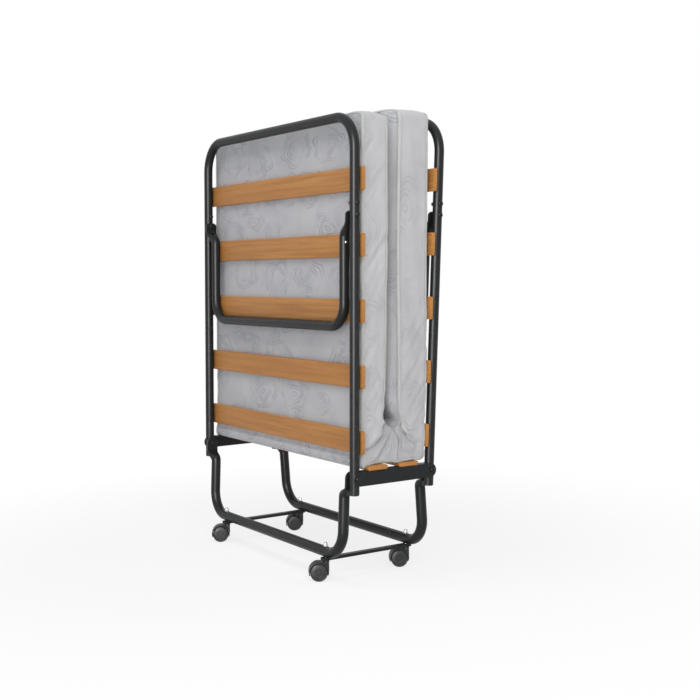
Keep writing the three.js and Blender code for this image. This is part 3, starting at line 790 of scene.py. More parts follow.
def buildBolts():
    outside = halfBed["width"] / 2 + flat["clearance"]
    legFace = flatInset - flat["thickness"] / 2 - flat["clearance"]
    tubeFace = tubeInset - tube["radius"] - flat["clearance"]
    for label, facing, matrix in halves:
        for bedSide, sideLabel in sides:
            side = facing * bedSide
            for kind, inside, nub in (("bolt", legFace, False), ("stop", tubeFace, True)):
                node = f"{label}_end_leg_{kind}_{sideLabel}"
                level = localOf(matrix, node).z
                part = moved(boltPart(outside, inside, nub, side), matrix @ Matrix.Translation((0, 0, level)))
                name = f"{label}EndLeg{kind.title()}{sideLabel.title()}"
                makePiece(name, part, paint, f"{label}_frame", node)
    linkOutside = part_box("side_link_right")[1].x + flat["clearance"]
    for _, endLabel in ends:
        pivot = Vector(jointOf[f"{endLabel}_frame_fold"]["pos_m"])
        for side, sideLabel in sides:
            part = moved(boltPart(linkOutside, legFace, False, side), Matrix.Translation(pivot))
            name = f"hingeBolt{endLabel.title()}{sideLabel.title()}"
            makePiece(name, part, paint, "centre", f"hinge_bolt_{endLabel}_{sideLabel}")
    print("bolts built")


# Slats

slat = {"width": 0.056, "thickness": 0.010, "edge": 0.0028, "edgeSteps": 4, "endRound": 0.0012, "columns": 24}


def slatPart(length):
    # A slat along X, its width along Z and its thickness along Y from nought upwards.
    halfWidth, thickness, edge = slat["width"] / 2, slat["thickness"], slat["edge"]
    corners = [
        ((edge, -halfWidth + edge), 180), ((thickness - edge, -halfWidth + edge), 270),
        ((thickness - edge, halfWidth - edge), 0), ((edge, halfWidth - edge), 90),
    ]
    outline = []
    for centre, start in corners:
        outline += arcPoints(centre, edge, start, start + 90, slat["edgeSteps"])
    middle = Vector((thickness / 2, 0))
    half, soft, columns = length / 2, slat["endRound"], slat["columns"]
    stations = [(-half, soft), (-half + soft, 0.0)]
    stations += [(mix(-half, half, i / columns), 0.0) for i in range(1, columns)]
    stations += [(half - soft, 0.0), (half, soft)]
    return skin([
        [Vector((x, place.x, place.y)) for place in pulledIn(outline, middle, inwards)]
        for x, inwards in stations
    ])


def paintSlat(piece, matrix, seed):
    # UVs in metres: along the slat and round it, shifted so that no two slats share their grain.
    chance = random.Random(seed)
    shift = Vector((chance.uniform(0, 40), chance.uniform(0, 40)))
    layer = piece.data.uv_layers.new(name="metres")
    inverse = matrix.inverted()
    for polygon in piece.data.polygons:
        normal = inverse.to_3x3() @ polygon.normal
        for loop in polygon.loop_indices:
            point = inverse @ piece.data.vertices[piece.data.loops[loop].vertex_index].co
            if abs(normal.x) > 0.7: # the end grain
                place = (point.y * 0.6, point.z * 8)
            elif abs(normal.y) > abs(normal.z):
                place = (point.x, point.z)
            else:
                place = (point.x, point.y + 0.1)
            layer.data[loop].uv = Vector(place) + shift


def placeSlat(name, node, length, place, body, seed):
    piece = makePiece(name, moved(slatPart(length), place), beech, body, node, 50)
    paintSlat(piece, place, seed)


def buildSlats():
    for label, _, matrix in halves:
        for i in range(1, halfBed["slats"] + 1):
            node = f"{label}_slat_{i}"
            middle = localOf(matrix, node)
            place = matrix @ Matrix.Translation((0, middle.y - slat["thickness"] / 2, middle.z))
            placeSlat(f"{label}Slat{i}", node, halfBed["width"], place, f"{label}_frame", f"{label}{i}")
    for _, endLabel in ends:
        node = f"centre_slat_{endLabel}"
        low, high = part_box(node)
        place = Matrix.Translation((0, (low.y + high.y) / 2, low.z)) @ Matrix.Rotation(math.pi / 2, 4, "X")
        placeSlat(f"centreSlat{endLabel.title()}", node, high.x - low.x, place, "centre", f"centre{endLabel}")
    print("slats built")


# Centre section

centre = {
    "radius": 0.01325,
    "legInset": 0.043,
    "jogTop": 0.020,
    "jogBottom": 0.050,
    "endRise": 0.015,
    "bend": 0.065,
    "linkEndSteps": 16,
    "linkBevel": 0.0007,
    "linkFillet": 0.003,
    "linkThickness": 0.003,
    "shelfWidth": 0.025,
    "shelfShort": 0.016, # from the hinge axis to the end of the shelf
    "tieCorner": 0.004,
    "tieBevel": 0.0006,
}


def buildCentreLegs():
    for end, endLabel in ends:
        pivot = Vector(jointOf[f"{endLabel}_frame_fold"]["pos_m"])
        stemLow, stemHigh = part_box(f"caster_stem_{endLabel}_right")
        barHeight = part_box("tie_strip_right")[1].z + flat["clearance"] + centre["radius"]
        drop = pivot.z - barHeight
        reach = abs((stemLow.y + stemHigh.y) / 2 - pivot.y)
        length = math.hypot(drop, reach)
        splay = math.atan2(reach, drop)
        route = uRoute(
            centre["endRise"], -length, tubeInset - centre["legInset"], centre["bend"], flatInset,
            -centre["jogTop"], -centre["jogBottom"],
            [centre["endRise"] * share for share in flat["steps"]],
        )
        section = flattenedSection(
            centre["radius"], -centre["jogBottom"], -centre["jogTop"], 0, centre["endRise"]
        )
        place = Matrix.Translation(pivot) @ Matrix.Rotation(end * splay, 4, "X")
        part = moved(tubeAlong(route, section, openEnds=False), place)
        name = f"centreLeg{endLabel.title()}"
        makePiece(name, part, paint, "centre", f"centre_leg_{endLabel}", 40)
    print("centre legs built")


def buildSideLinks():
    for side, sideLabel in sides:
        node = f"side_link_{sideLabel}"
        low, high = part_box(node)
        radius = (high.z - low.z) / 2
        middleY, middleZ = (low.y + high.y) / 2, (high.z + low.z) / 2
        thickness, bevel = centre["linkThickness"], centre["linkBevel"]
        outline = arcPoints((high.y - radius, middleZ), radius, -90, 90, centre["linkEndSteps"])
        outline += arcPoints((low.y + radius, middleZ), radius, 90, 270, centre["linkEndSteps"])
        outer = high.x if side > 0 else -low.x
        rings = []
        for depth, inwards in bevelled(0.0, thickness, bevel):
            ring = []
            for y, z in outline:
                offset = Vector((y, z)) - Vector((middleY, middleZ))
                pastStraight = max(abs(offset.x) - (high.y - low.y) / 2 + radius, 0)
                pull = Vector((pastStraight * math.copysign(1, offset.x), offset.y)).normalized() * inwards
                ring.append(Vector((outer - thickness + depth, y - pull.x, z - pull.y)))
            rings.append(ring)
        shelfEnd = jointOf["rear_frame_fold"]["pos_m"][1] - hinges.y - centre["shelfShort"]
        part = merge([skin(rings), shelfPart(outer, high.z, middleY, shelfEnd)])
        if side < 0:
            points, faces = part
            part = [Vector((-point.x, point.y, point.z)) for point in points], [face[::-1] for face in faces]
        makePiece(f"sideLink{sideLabel.title()}", part, paint, "centre", node, 30)
    print("side links built")


def bevelled(low, high, bevel):
    # Levels through a plate with bevelled edges, and how far the outline is drawn in at each.
    return (low, bevel), (low + bevel, 0), (high - bevel, 0), (high, bevel)


def shelfPart(outer, top, middleY, halfLength):
    # The link's top flange, with a rounded bend where it leaves the upright.
    fillet, bevel, inner = centre["linkFillet"], centre["linkBevel"], outer - centre["shelfWidth"]
    thickness = centre["linkThickness"]
    under = top - thickness
    bend = (outer - thickness - fillet, under - fillet)
    section = [(inner + bevel, top), (inner, top - bevel), (inner, under + bevel), (inner + bevel, under)]
    section += [(outer - thickness - fillet, under)] + arcPoints(bend, fillet, 90, 0, 5)[1:]
    section += [(outer - 0.0016, under - fillet), (outer - 0.0016, top - 0.0006), (outer - 0.0026, top)]
    return skin([[Vector((x, middleY + y, z)) for x, z in section] for y in (-halfLength, halfLength)])


def buildTieStrips():
    for _, sideLabel in sides:
        node = f"tie_strip_{sideLabel}"
        low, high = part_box(node)
        corner = centre["tieCorner"]
        halfWidth, halfLength = (high.x - low.x) / 2, (high.y - low.y) / 2
        outline = []
        for signX, signY, start in ((1, -1, 270), (1, 1, 0), (-1, 1, 90), (-1, -1, 180)):
            middle = (signX * (halfWidth - corner), signY * (halfLength - corner))
            outline += arcPoints(middle, corner, start, start + 90, 6)
        rings = [
            [
                Vector((
                    (low.x + high.x) / 2 + x * (1 - inwards / halfWidth),
                    (low.y + high.y) / 2 + y * (1 - inwards / halfLength),
                    z,
                ))
                for x, y in outline
            ]
            for z, inwards in bevelled(low.z, high.z, centre["tieBevel"])
        ]
        makePiece(f"tieStrip{sideLabel.title()}", skin(rings), paint, "centre", node, 30)
    print("tie strips built")


buildFrameTubes()
buildEndLegs()
buildBolts()
buildSlats()
buildCentreLegs()
buildSideLinks()
buildTieStrips()


# Casters

caster = {
    "wheelRadius": 0.022,
    "web": 0.012,
    "wheelWidth": 0.0125,
    "gap": 0.0003,
    "hoodReach": 0.0250,
    "hoodRise": 0.026,
    "hoodDrop": 0.009,
    "hoodHalfWidth": 0.0170,
    "hoodThickness": 0.0020,
    "hoodSteps": 40,
    "hoodTip": (7, 0.55), # steps over which it narrows, and its share of the width at the tip
    "neckRadius": 0.008,
    "neckDrop": 0.00475,
    "segments": 64,
    "nutFlats": 0.0119,
    "nutHeight": 0.0105,
    "nutPrism": 0.0047,
    "collarRadius": 0.0062,
}


def casterMatrix(place):
    # X runs from the axle to the stem, Z up, with the stem's foot on the floor as the origin.
    stem = Vector(jointOf[f"caster_swivel_{place}"]["pos_m"])
    axle = Vector(jointOf[f"wheel_spin_{place}"]["pos_m"])
    forward = Vector((stem.x - axle.x, stem.y - axle.y, 0))
    turn = Matrix.Rotation(math.atan2(forward.y, forward.x), 4, "Z")
    return Matrix.Translation((stem.x, stem.y, 0)) @ turn, forward.length, axle.z


def hoodPart(trail, axleHeight):
    # The crescent over both wheels, thin at its two tips.
    lowAngle = math.degrees(math.asin(caster["hoodDrop"] / caster["hoodReach"]))
    steps, reach, thick = caster["hoodSteps"], caster["hoodReach"], caster["hoodThickness"]
    tipSteps, tipShare = caster["hoodTip"]
    rings = []
    for i in range(steps + 1):
        angle = math.radians(mix(-lowAngle, 180 + lowAngle, i / steps))
        rise = caster["hoodRise"] if math.sin(angle) > 0 else reach
        point = Vector((reach * math.cos(angle), 0, rise * math.sin(angle)))
        out = Vector((rise * math.cos(angle), 0, reach * math.sin(angle))).normalized()
        tip = min(min(i, steps - i) / tipSteps, 1)
        width = caster["hoodHalfWidth"] * (math.sqrt(1 - (1 - tip) ** 2) * (1 - tipShare) + tipShare)
        section = [
            (width * 0.4, 0.0003), (width - 0.0016, 0), (width - 0.0005, -0.0003), (width, -0.0010),
            (width, -thick),
        ]
        section = [(-across, depth) for across, depth in reversed(section)] + section
        centreOf = Vector((-trail, 0, axleHeight)) + point
        rings.append([centreOf + out * depth + Vector((0, across, 0)) for across, depth in section])
    return skin(rings)


def webPart(trail, axleHeight, top):
    # The body between the wheels: a rounded plate that runs up into the neck.
    neck = caster["neckRadius"]
    outline = arcPoints((0, 0), 0.016, 90, 315, 36)
    rise = top - axleHeight - 0.003
    outline += [(trail + neck * 0.7, -0.002), (trail + neck * 0.9, 0.004), (trail + neck * 0.9, rise)]
    outline += [(trail - neck * 0.9, rise), (trail * 0.2, caster["hoodRise"] - 0.001)]
    half = caster["web"] / 2
    middle = Vector((trail * 0.4, 0.004))
    return skin([
        [Vector((x - trail, y, axleHeight + z)) for x, z in reversed(pulledIn(outline, middle, inwards))]
        for y, inwards in bevelled(-half, half, 0.0008)
    ])


def neckPart(top):
    radius, drop = caster["neckRadius"], caster["neckDrop"]
    return turned([
        (0, top - drop), (radius * 1.02, top - drop), (radius, top - drop * 0.6), (radius, top - drop * 0.45),
        (radius * 1.04, top - drop * 0.35), (radius * 1.04, top - 0.0006), (radius, top - 0.0001),
        (0.0048, top - 0.0001), (0.0046, top - 0.0012), (0, top - 0.0012),
    ], 48)


def wheelPart(side):
    # A moulded wheel with a rounded tread, a groove round its face and a cap at its hub.
    inner = caster["web"] / 2 + caster["gap"]
    outer = inner + caster["wheelWidth"]
    r = caster["wheelRadius"]
    profile = [
        (0, inner + 0.0004), (0.0062, inner + 0.0004), (0.0066, inner), (r - 0.0016, inner),
        (r - 0.0004, inner + 0.0006), (r, inner + 0.0022), (r, inner + 0.0060), (r - 0.0002, outer - 0.0030),
        (r - 0.0009, outer - 0.0014), (r - 0.0020, outer - 0.0005), (r - 0.0034, outer - 0.0002),
        (r - 0.0040, outer - 0.0005), (r - 0.0046, outer - 0.0005), (r - 0.0052, outer - 0.0002),
        (r * 0.55, outer), (r * 0.36, outer - 0.0001), (r * 0.33, outer - 0.0006),
        (r * 0.28, outer - 0.0006), (r * 0.26, outer - 0.0001), (r * 0.16, outer), (0, outer),
    ]
    return moved(turned(profile, caster["segments"]), Matrix.Rotation(-side * math.pi / 2, 4, "X"))


def capNutPart(seat):
    # A hexagon nut under a domed cap.
    flats, height, prism = caster["nutFlats"], caster["nutHeight"], caster["nutPrism"]
    count, steps = 48, 8
    shoulder = seat + prism + 0.0008
    dome = flats / 2 - 0.0006

    def ring(level, radiusAt):
        points = []
        for angle in (2 * math.pi * i / count for i in range(count)):
            radius = radiusAt(angle)
            points.append(Vector((radius * math.cos(angle), radius * math.sin(angle), level)))
        return points

    def hexagon(inset):
        def radiusAt(angle):
            turn = (angle + math.pi / 6) % (math.pi / 3) - math.pi / 6
            return min(flats / 2 / math.cos(turn), flats / 2 * 1.11) - inset
        return radiusAt

    rings = [
        ring(seat, hexagon(0.0004)),
        ring(seat + 0.0004, hexagon(0)),
        ring(seat + prism - 0.0005, hexagon(0)),
        ring(seat + prism, lambda angle: flats / 2 - 0.0001),
        ring(seat + prism + 0.0002, lambda angle: dome),
    ]
    for i in range(1, steps):
        up = math.pi / 2 * i / steps
        level = shoulder + (height - prism - 0.0008) * math.sin(up)
        rings.append(ring(level, lambda angle: dome * math.cos(up) ** 0.9))
    return skin(rings)


def buildCaster(place, title):
    matrix, trail, axleHeight = casterMatrix(place)
    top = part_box(f"caster_body_{place}")[1].z
    stemLow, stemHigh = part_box(f"caster_stem_{place}")
    body = moved(merge([hoodPart(trail, axleHeight), webPart(trail, axleHeight, top), neckPart(top)]), matrix)
    node = f"caster_body_{place}"
    makePiece(f"casterBody{title}", body, plastic, f"caster_{place}", node)
    axle = matrix @ Matrix.Translation((-trail, 0, axleHeight))
    for kind in ("inner", "outer"):
        node = f"caster_wheel_{kind}_{place}"
        low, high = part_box(node)
        facing = matrix.inverted() @ ((low + high) / 2)
        part = moved(wheelPart(1 if facing.y > 0 else -1), axle)
        makePiece(f"wheel{kind.title()}{title}", part, plastic, f"wheels_{place}", node)
    seat = stemHigh.z - caster["nutHeight"]
    radius, stemEnd, collar = bolt["radius"], seat + 0.002, caster["collarRadius"]
    stem = turned([
        (0, stemLow.z), (0.0037, stemLow.z), (radius, stemLow.z + 0.0004), (radius, stemEnd), (0, stemEnd),
    ], bolt["segments"])
    ring = turned([
        (0, top + 0.0001), (collar, top + 0.0001), (collar, top + 0.0002), (0, top + 0.0002),
    ], bolt["segments"])
    upright = Matrix.Translation(matrix.translation)
    stem = moved(merge([stem, ring]), upright)
    makePiece(f"casterStem{title}", stem, zinc, "centre", f"caster_stem_{place}")
    makePiece(f"casterNut{title}", moved(capNutPart(seat), upright), zinc, "centre", sharpAngle=30)
    axleMaterials = frame["nodes"][f"caster_axle_{place}"].data.materials
    axleMaterials.clear()
    axleMaterials.append(zinc)


for _, endLabel in ends:
    for _, sideLabel in sides:
        buildCaster(f"{endLabel}_{sideLabel}", f"{endLabel.title()}{sideLabel.title()}")
print("casters built")


# Mattress

mattress = {
    "width": 0.776,
    "face": 0.0232,
    "top": 0.8775,
    "extra": {1: (0.003, 0.006), -1: (0.010, 0.005)},
    "frontThickness": 0.0710,
    "rearThickness": 0.0840,
    "frontLift": 0.001,
    "rearLift": 0.015,
    "seamInset": 0.0015,
    "crown": 0.045,
    "rounds": {1: (0.014, 0.032), -1: (0.018, 0.008)},
    "sideRound": 0.008,
    "planRound": 0.024,
    "fullness": 0.0135,
    "fullFrom": 0.045,
    "spread": {1: (-0.001, 0.0), -1: (0.0110, 0.0025)},
    "foldStep": 0.0062,
    "padStep": 0.0135,
    "foldZone": 0.38,
    "foldReach": 0.085,
    "bunched": 0.002,
    "firstInner": 0.010,
    "columns": 56,
    "layers": 10,
    "middle": hinges.y + 0.0042,
    "creaseHeight": 0.1115,
    "hiddenCloth": 0.20,
    "seamCrease": 0.6,
    "bendShare": 0.25, # where the bend line lies between two rows
    "lowCorner": {
        1: [(-0.0560, 0.0006), (-0.0745, -0.0010), (-0.0832, -0.0072), (-0.0890, -0.0050), (-0.0915, 0.0060),
            (-0.0888, 0.0190), (-0.0862, 0.0310)],
        -1: [(0.0500, 0.0006), (0.0700, 0.0006), (0.0850, 0.0035), (0.0925, 0.0110), (0.0945, 0.0205),
             (0.0915, 0.0310)],
    },
}


# One row across the mattress: its outer and inner point, its distance to the top, the direction along the
# frame, how far along the outer and the inner cloth it lies, and its half.
Row = namedtuple("Row", "outer inner toTop along outerAt innerAt facing")


def worldYz(matrix, inwards, along):
    point = matrix @ Vector((0, inwards, along))
    return Vector((point.y, point.z))


def curveThrough(points, steps=24):
    # A smooth curve through given points.
    padded = [points[0] * 2 - points[1], *points, points[-1] * 2 - points[-2]]
    curve = []
    for i in range(1, len(padded) - 2):
        before, start, end, after = padded[i - 1:i + 3]
        for j in range(steps):
            t = j / steps
            curve.append(0.5 * (
                2 * start + (end - before) * t + (2 * before - 5 * start + 4 * end - after) * t * t
                + (3 * start - before - 3 * end + after) * t ** 3
            ))
    curve.append(points[-1])
    return curve


def pointAt(curve, lengths, distance):
    distance = min(max(distance, 0.0), lengths[-1])
    high = min(bisect_right(lengths, distance), len(lengths) - 1)
    low = high - 1
    span = lengths[high] - lengths[low]
    return curve[low].lerp(curve[high], (distance - lengths[low]) / span if span else 0)


def lengthsOf(curve):
    lengths = [0.0]
    for before, after in zip(curve, curve[1:]):
        lengths.append(lengths[-1] + (after - before).length)
    return lengths


def sideProfile(matrix, facing, thickness, lift):
    # The outer and inner outlines of one half, from the middle of the fold to the top, in (y, z).
    # The fold lies on the centre slats and rounds up to the frame's slats; inside, it ends in a crease.
    middle, bottom, face, top = mattress["middle"], slatTop + 0.0006, mattress["face"], mattress["top"]
    creaseTop = slatTop + mattress["creaseHeight"]
    inside = face + thickness
    outer = [Vector((middle, bottom)), Vector((middle - facing * 0.030, bottom))]
    outer += [Vector((hinges.y + y, slatTop + z)) for y, z in mattress["lowCorner"][facing]]
    inCrease = ((0, 0.027), (0.0085, 0.0225), (0.0185, 0.011))
    inner = [Vector((middle - facing * y, creaseTop - z)) for y, z in inCrease]
    outer += [worldYz(matrix, inwards, along) for inwards, along in (
        (face, 0.110), (face, 0.190), (face + lift * 0.10, top * 0.4), (face + lift * 0.45, top * 0.65),
        (face + lift, top),
    )]
    inner += [worldYz(matrix, inwards, along) for inwards, along in (
        (inside - 0.010, 0.145), (inside - 0.0045, 0.200), (inside - 0.0015, 0.280),
        (inside + lift * 0.5, top * 0.6), (inside + lift, top),
    )]
    outer[-1].y += mattress["extra"][facing][0]
    inner[-1].y += mattress["extra"][facing][1]
    return curveThrough(outer), curveThrough(inner)


def rowsOf(outerLength, innerLength):
    # Distances of the mesh rows along both outlines. Up to the corner of the fold, the inner cloth is bunched
    # up in the crease.
    distances = [0.0]
    while distances[-1] < outerLength:
        atFold = 1 - smooth(distances[-1], 0.16, 0.32)
        atTop = smooth(distances[-1], outerLength - 0.12, outerLength - 0.07)
        step = mix(mattress["padStep"], mattress["foldStep"], max(atFold, atTop))
        distances.append(distances[-1] + step)
    scale = outerLength / distances[-1]
    spare = outerLength - innerLength
    first = next(distance * scale for distance in distances if distance * scale > mattress["foldReach"])
    rows = []
    for distance in distances:
        outerAt = distance * scale
        if outerAt < first:
            rows.append((outerAt, mattress["bunched"] * outerAt / first))
            continue
        share = min((outerAt - first) / (mattress["foldZone"] - first), 1.0)
        rows.append((outerAt, outerAt - mix(first - mattress["firstInner"], spare, 1 - (1 - share) ** 2)))
    return rows


def cornerDrop(distance, radius):
    # How far a rounded corner falls back, at a distance from where the two faces would meet.
    share = max(1 - distance / (radius * math.pi / 4), 0.0)
    return radius * (1 - math.cos(math.pi / 4 * share))


bendLines = {} # for each half, the inner and the outer point of the line that its cloth bends over


def rowsOfHalf(label, facing, matrix):
    # Each row of one half, from the fold to the top, and its bend line.
    outer, inner = sideProfile(matrix, facing, mattress[f"{label}Thickness"], mattress[f"{label}Lift"])
    outerLengths, innerLengths = lengthsOf(outer), lengthsOf(inner)
    distances = rowsOf(outerLengths[-1], innerLengths[-1])
    turning = next(k for k, row in enumerate(distances) if row[1] >= mattress["firstInner"] - 1e-6)
    around = zip(distances[turning - 1], distances[turning])
    lineOuter, lineInner = (mix(below, above, mattress["bendShare"]) for below, above in around)
    bendLines[label] = (pointAt(inner, innerLengths, lineInner), pointAt(outer, outerLengths, lineOuter))
    along = worldYz(matrix, 0, 1) - worldYz(matrix, 0, 0)
    return [
        Row(
            pointAt(outer, outerLengths, outerAt), pointAt(inner, innerLengths, innerAt),
            outerLengths[-1] - outerAt, along, outerAt,
            innerAt + (mattress["hiddenCloth"] if k >= turning else 0.0), facing,
        )
        for k, (outerAt, innerAt) in enumerate(distances)
    ]


def placeOnRow(row, x, layer):
    # x from side to side, layer from 0 on the outer face to 1 on the inner one
    half = mattress["width"] / 2
    toSide = half - abs(x)
    outerRound, innerRound = mattress["rounds"][row.facing]
    thick = (row.inner - row.outer).length
    through = (row.inner - row.outer).normalized()
    crown = 1 - smooth(toSide, 0.0, mattress["crown"])
    outerInset = mattress["seamInset"] * crown + cornerDrop(row.toTop, outerRound)
    innerInset = 0.6 * mattress["seamInset"] * crown + cornerDrop(row.toTop, innerRound)
    fullness = smooth(toSide, 0.0, mattress["fullFrom"]) * smooth(row.innerAt, 0.205, 0.27)
    innerInset -= mattress["fullness"] * fullness
    depth = mix(outerInset, thick - innerInset, layer)
    drop = cornerDrop(layer * thick, outerRound) + cornerDrop((1 - layer) * thick, innerRound)
    drop += cornerDrop(toSide, mattress["sideRound"])
    drop *= max(1 - row.toTop / 0.05, 0.0) ** 2
    corner = mattress["planRound"]
    short = max(corner - row.toTop, 0.0)
    pulled = corner - math.sqrt(corner ** 2 - short ** 2)
    narrow = (half - pulled + mix(*mattress["spread"][row.facing], smooth(row.outer.y, 0.45, 1.0))) / half
    point = row.outer + through * depth - row.along * drop
    return Vector((x * mix(1.0, narrow, smooth(abs(x), 0.0, half)), point.x, point.y))


def clothUv(row, x, layer, kind):
    # Metres on the cloth. Each kind of panel has its own part of the print.
    if kind == "outer":
        return x, row.facing * row.outerAt
    if kind == "inner":
        return x + 1.7, row.facing * row.innerAt
    point = row.outer.lerp(row.inner, layer)
    return point.y + 3.1 + math.copysign(0.4, x), point.x


def mattressForm():
    # The whole mattress as one closed mesh: rows along it from the rear top, through the fold, to the front
    # top.
    # Each row is a ring: outer face, right side, inner face, left side.
    columns, layers = mattress["columns"], mattress["layers"]
    half = mattress["width"] / 2
    rear, front = (rowsOfHalf(*entry) for entry in reversed(halves))
    rows = rear[::-1] + front[1:]
    ring = [(mix(-half, half, i / columns), 0.0) for i in range(columns)]
    ring += [(half, j / layers) for j in range(layers)]
    ring += [(mix(half, -half, i / columns), 1.0) for i in range(columns)]
    ring += [(-half, 1 - j / layers) for j in range(layers)]
    count = len(ring)
    points = [placeOnRow(row, x, layer) for row in rows for x, layer in ring]
    faces, uvs, halfOf, seams = [], [], [], {}
    kinds = ["outer"] * columns + ["side"] * layers + ["inner"] * columns + ["side"] * layers
    for k, (row, after) in enumerate(zip(rows, rows[1:])):
        for j, kind in enumerate(kinds):
            n = (j + 1) % count
            faces.append((k * count + j, k * count + n, (k + 1) * count + n, (k + 1) * count + j))
            corners = ((row, ring[j]), (row, ring[n]), (after, ring[n]), (after, ring[j]))
            uvs.append([clothUv(at, *place, kind) for at, place in corners])
            halfOf.append(max(row.facing, after.facing) if row.outerAt > 0 else after.facing)
    for end, k in ((0, 0), (1, len(rows) - 1)):
        row = rows[k]
        grid = {}
        for j, (x, layer) in enumerate(ring):
            grid[(round((x + half) / (2 * half) * columns), round(layer * layers))] = k * count + j
        for i in range(1, columns):
            for j in range(1, layers):
                grid[(i, j)] = len(points)
                points.append(placeOnRow(row, mix(-half, half, i / columns), j / layers))
        for i in range(columns):
            for j in range(layers):
                quad = [(i, j), (i + 1, j), (i + 1, j + 1), (i, j + 1)]
                if end == 0:
                    quad.reverse()
                faces.append(tuple(grid[corner] for corner in quad))
                uvs.append([(0.05 + a / columns * 2 * half + 5.3, b / layers * 0.08) for a, b in quad])
                halfOf.append(row.facing)
    middleRow = len(rear) - 1
    for label, step in (("rear", -1), ("front", 1)):
        last = 0 if step < 0 else len(rows) - 1
        up = list(range(middleRow, last + step, step))
        for kind, first, second in (("outer", columns, 0), ("inner", columns + layers, 2 * columns + layers)):
            across = list(range(first, second, 1 if second > first else -1)) + [second]
            path = [k * count + first for k in up] + [last * count + j for j in across[1:-1]]
            path += [k * count + second for k in reversed(up)]
            seams[f"{label}-{kind}"] = path
    return points, faces, uvs, halfOf, seams, range(middleRow * count, (middleRow + 1) * count)


cover = {
    "innerLimit": 0.0055,
    "slatLimit": 0.0012,
    "gapLimit": 0.0030,
    "borderLimit": 0.0030,
    "frames": 20,
    "settings": {
        "quality": 5,
        "mass": 0.25,
        "tension_stiffness": 12,
        "compression_stiffness": 12,
        "shear_stiffness": 4,
        "bending_stiffness": 0.4,
        "use_pressure": True,
        "uniform_pressure_force": 4,
        "shrink_min": -0.025,
        "vertex_group_mass": "held",
    },
}


def inflate(piece, pinned, limits):
    # Lets the cover swell under a little air pressure, and keeps each point within its limit.
    rest = [vertex.co.copy() for vertex in piece.data.vertices]
    group = piece.vertex_groups.new(name="held")
    group.add(pinned, 1.0, "REPLACE")
    modifier = piece.modifiers.new("cover", "CLOTH")
    for key, value in cover["settings"].items():
        setattr(modifier.settings, key, value)
    modifier.settings.effector_weights.gravity = 0
    modifier.point_cache.frame_start = 1
    modifier.point_cache.frame_end = cover["frames"]
    for i in range(1, cover["frames"] + 1):
        scene.frame_set(i)
    swollen = piece.evaluated_get(bpy.context.evaluated_depsgraph_get()).to_mesh()
    moves = [swollen.vertices[i].co - point for i, point in enumerate(rest)]
    piece.evaluated_get(bpy.context.evaluated_depsgraph_get()).to_mesh_clear()
    piece.modifiers.remove(modifier)
    piece.vertex_groups.remove(group)
    scene.frame_set(1)
    for vertex, point, move, limit in zip(piece.data.vertices, rest, moves, limits):
        length = move.length
        if length > 1e-9:
            vertex.co = point + move * (limit * math.tanh(length / limit) / length if limit > 0 else 0.0)


def buildMattress():
    points, faces, uvs, halfOf, seams, middle = mattressForm()
    mesh = makeMesh("mattressWhole", points, faces, uvs)
    belongs = mesh.attributes.new("half", "INT", "FACE")
    belongs.data.foreach_set("value", halfOf)
    crease = mesh.attributes.new("crease_edge", "FLOAT", "EDGE")
    seamEdges = {tuple(sorted(pair)) for path in seams.values() for pair in zip(path, path[1:])}
    for edge in mesh.edges:
        if tuple(sorted(edge.vertices)) in seamEdges:
            crease.data[edge.index].value = mattress["seamCrease"]
    whole = makeObject("mattressWhole", mesh)
    inflate(whole, list(middle), [limitAt(vertex.co) for vertex in mesh.vertices])
    print("mattress cover inflated")
    subdivide(whole, 1)
    sculpt(whole)
    for label, facing, _ in halves:
        halfPiece(whole, label, facing, seams)
    bpy.data.objects.remove(whole)
    print("mattress built")


def subdivide(piece, levels):
    modifier = piece.modifiers.new("finer", "SUBSURF")
    modifier.levels = levels
    modifier.render_levels = levels
    modifier.use_limit_surface = False
    graph = bpy.context.evaluated_depsgraph_get()
    finer = bpy.data.meshes.new_from_object(
        piece.evaluated_get(graph), preserve_all_data_layers=True, depsgraph=graph
    )
    piece.modifiers.remove(modifier)
    old = piece.data
    piece.data = finer
    bpy.data.meshes.remove(old)


def halfInfo(point):
    # Which half a point belongs to, and its place in that half's own frame.
    label, facing, matrix = halves[0] if point.y < mattress["middle"] else halves[1]
    return label, facing, matrix.inverted() @ point


slatLevels = {
    label: [localOf(matrix, f"{label}_slat_{i}").z for i in range(1, halfBed["slats"] + 1)]
    for label, _, matrix in halves
}


def freeOfSlats(label, along, low, high):
    # Nought over a slat, one well clear of it.
    return min(smooth(abs(along - level), low, high) for level in slatLevels[label])


def offCrease(point):
    # Nought in the crease, where the spare cloth is bunched up, and along the line that the cloth bends over.
    offset = Vector((point.y - mattress["middle"], point.z - slatTop - mattress["creaseHeight"] + 0.0265))
    inner, outer = bendLines[halfInfo(point)[0]]
    across = (outer - inner).orthogonal().normalized()
    fromLine = abs((Vector((point.y, point.z)) - inner).dot(across))
    return smooth(offset.length, 0.014, 0.042) * smooth(fromLine, 0.005, 0.018)


def limitAt(point):
    # How far the cover may swell: little where it lies on the slats, more on the border.
    label, _, local = halfInfo(point)
    border = 1 - smooth(mattress["width"] / 2 - abs(point.x), 0.0, 0.012)
    outerFace = 1 - smooth(local.y, 0.030, 0.045)
    free = freeOfSlats(label, local.z, 0.034, 0.060) if local.z >= 0.06 else 0.0
    face = mix(cover["innerLimit"], cover["slatLimit"] + cover["gapLimit"] * free, outerFace)
    return mix(face, cover["borderLimit"], border) * offCrease(point)


def ridge(value, width):
    return math.exp(-(value / width) ** 2)


def groove(value):
    # Sharp on its near side, and shallow on the side where the value is positive.
    return math.exp(-value / 0.012) if value > 0 else math.exp(value / 0.0028)


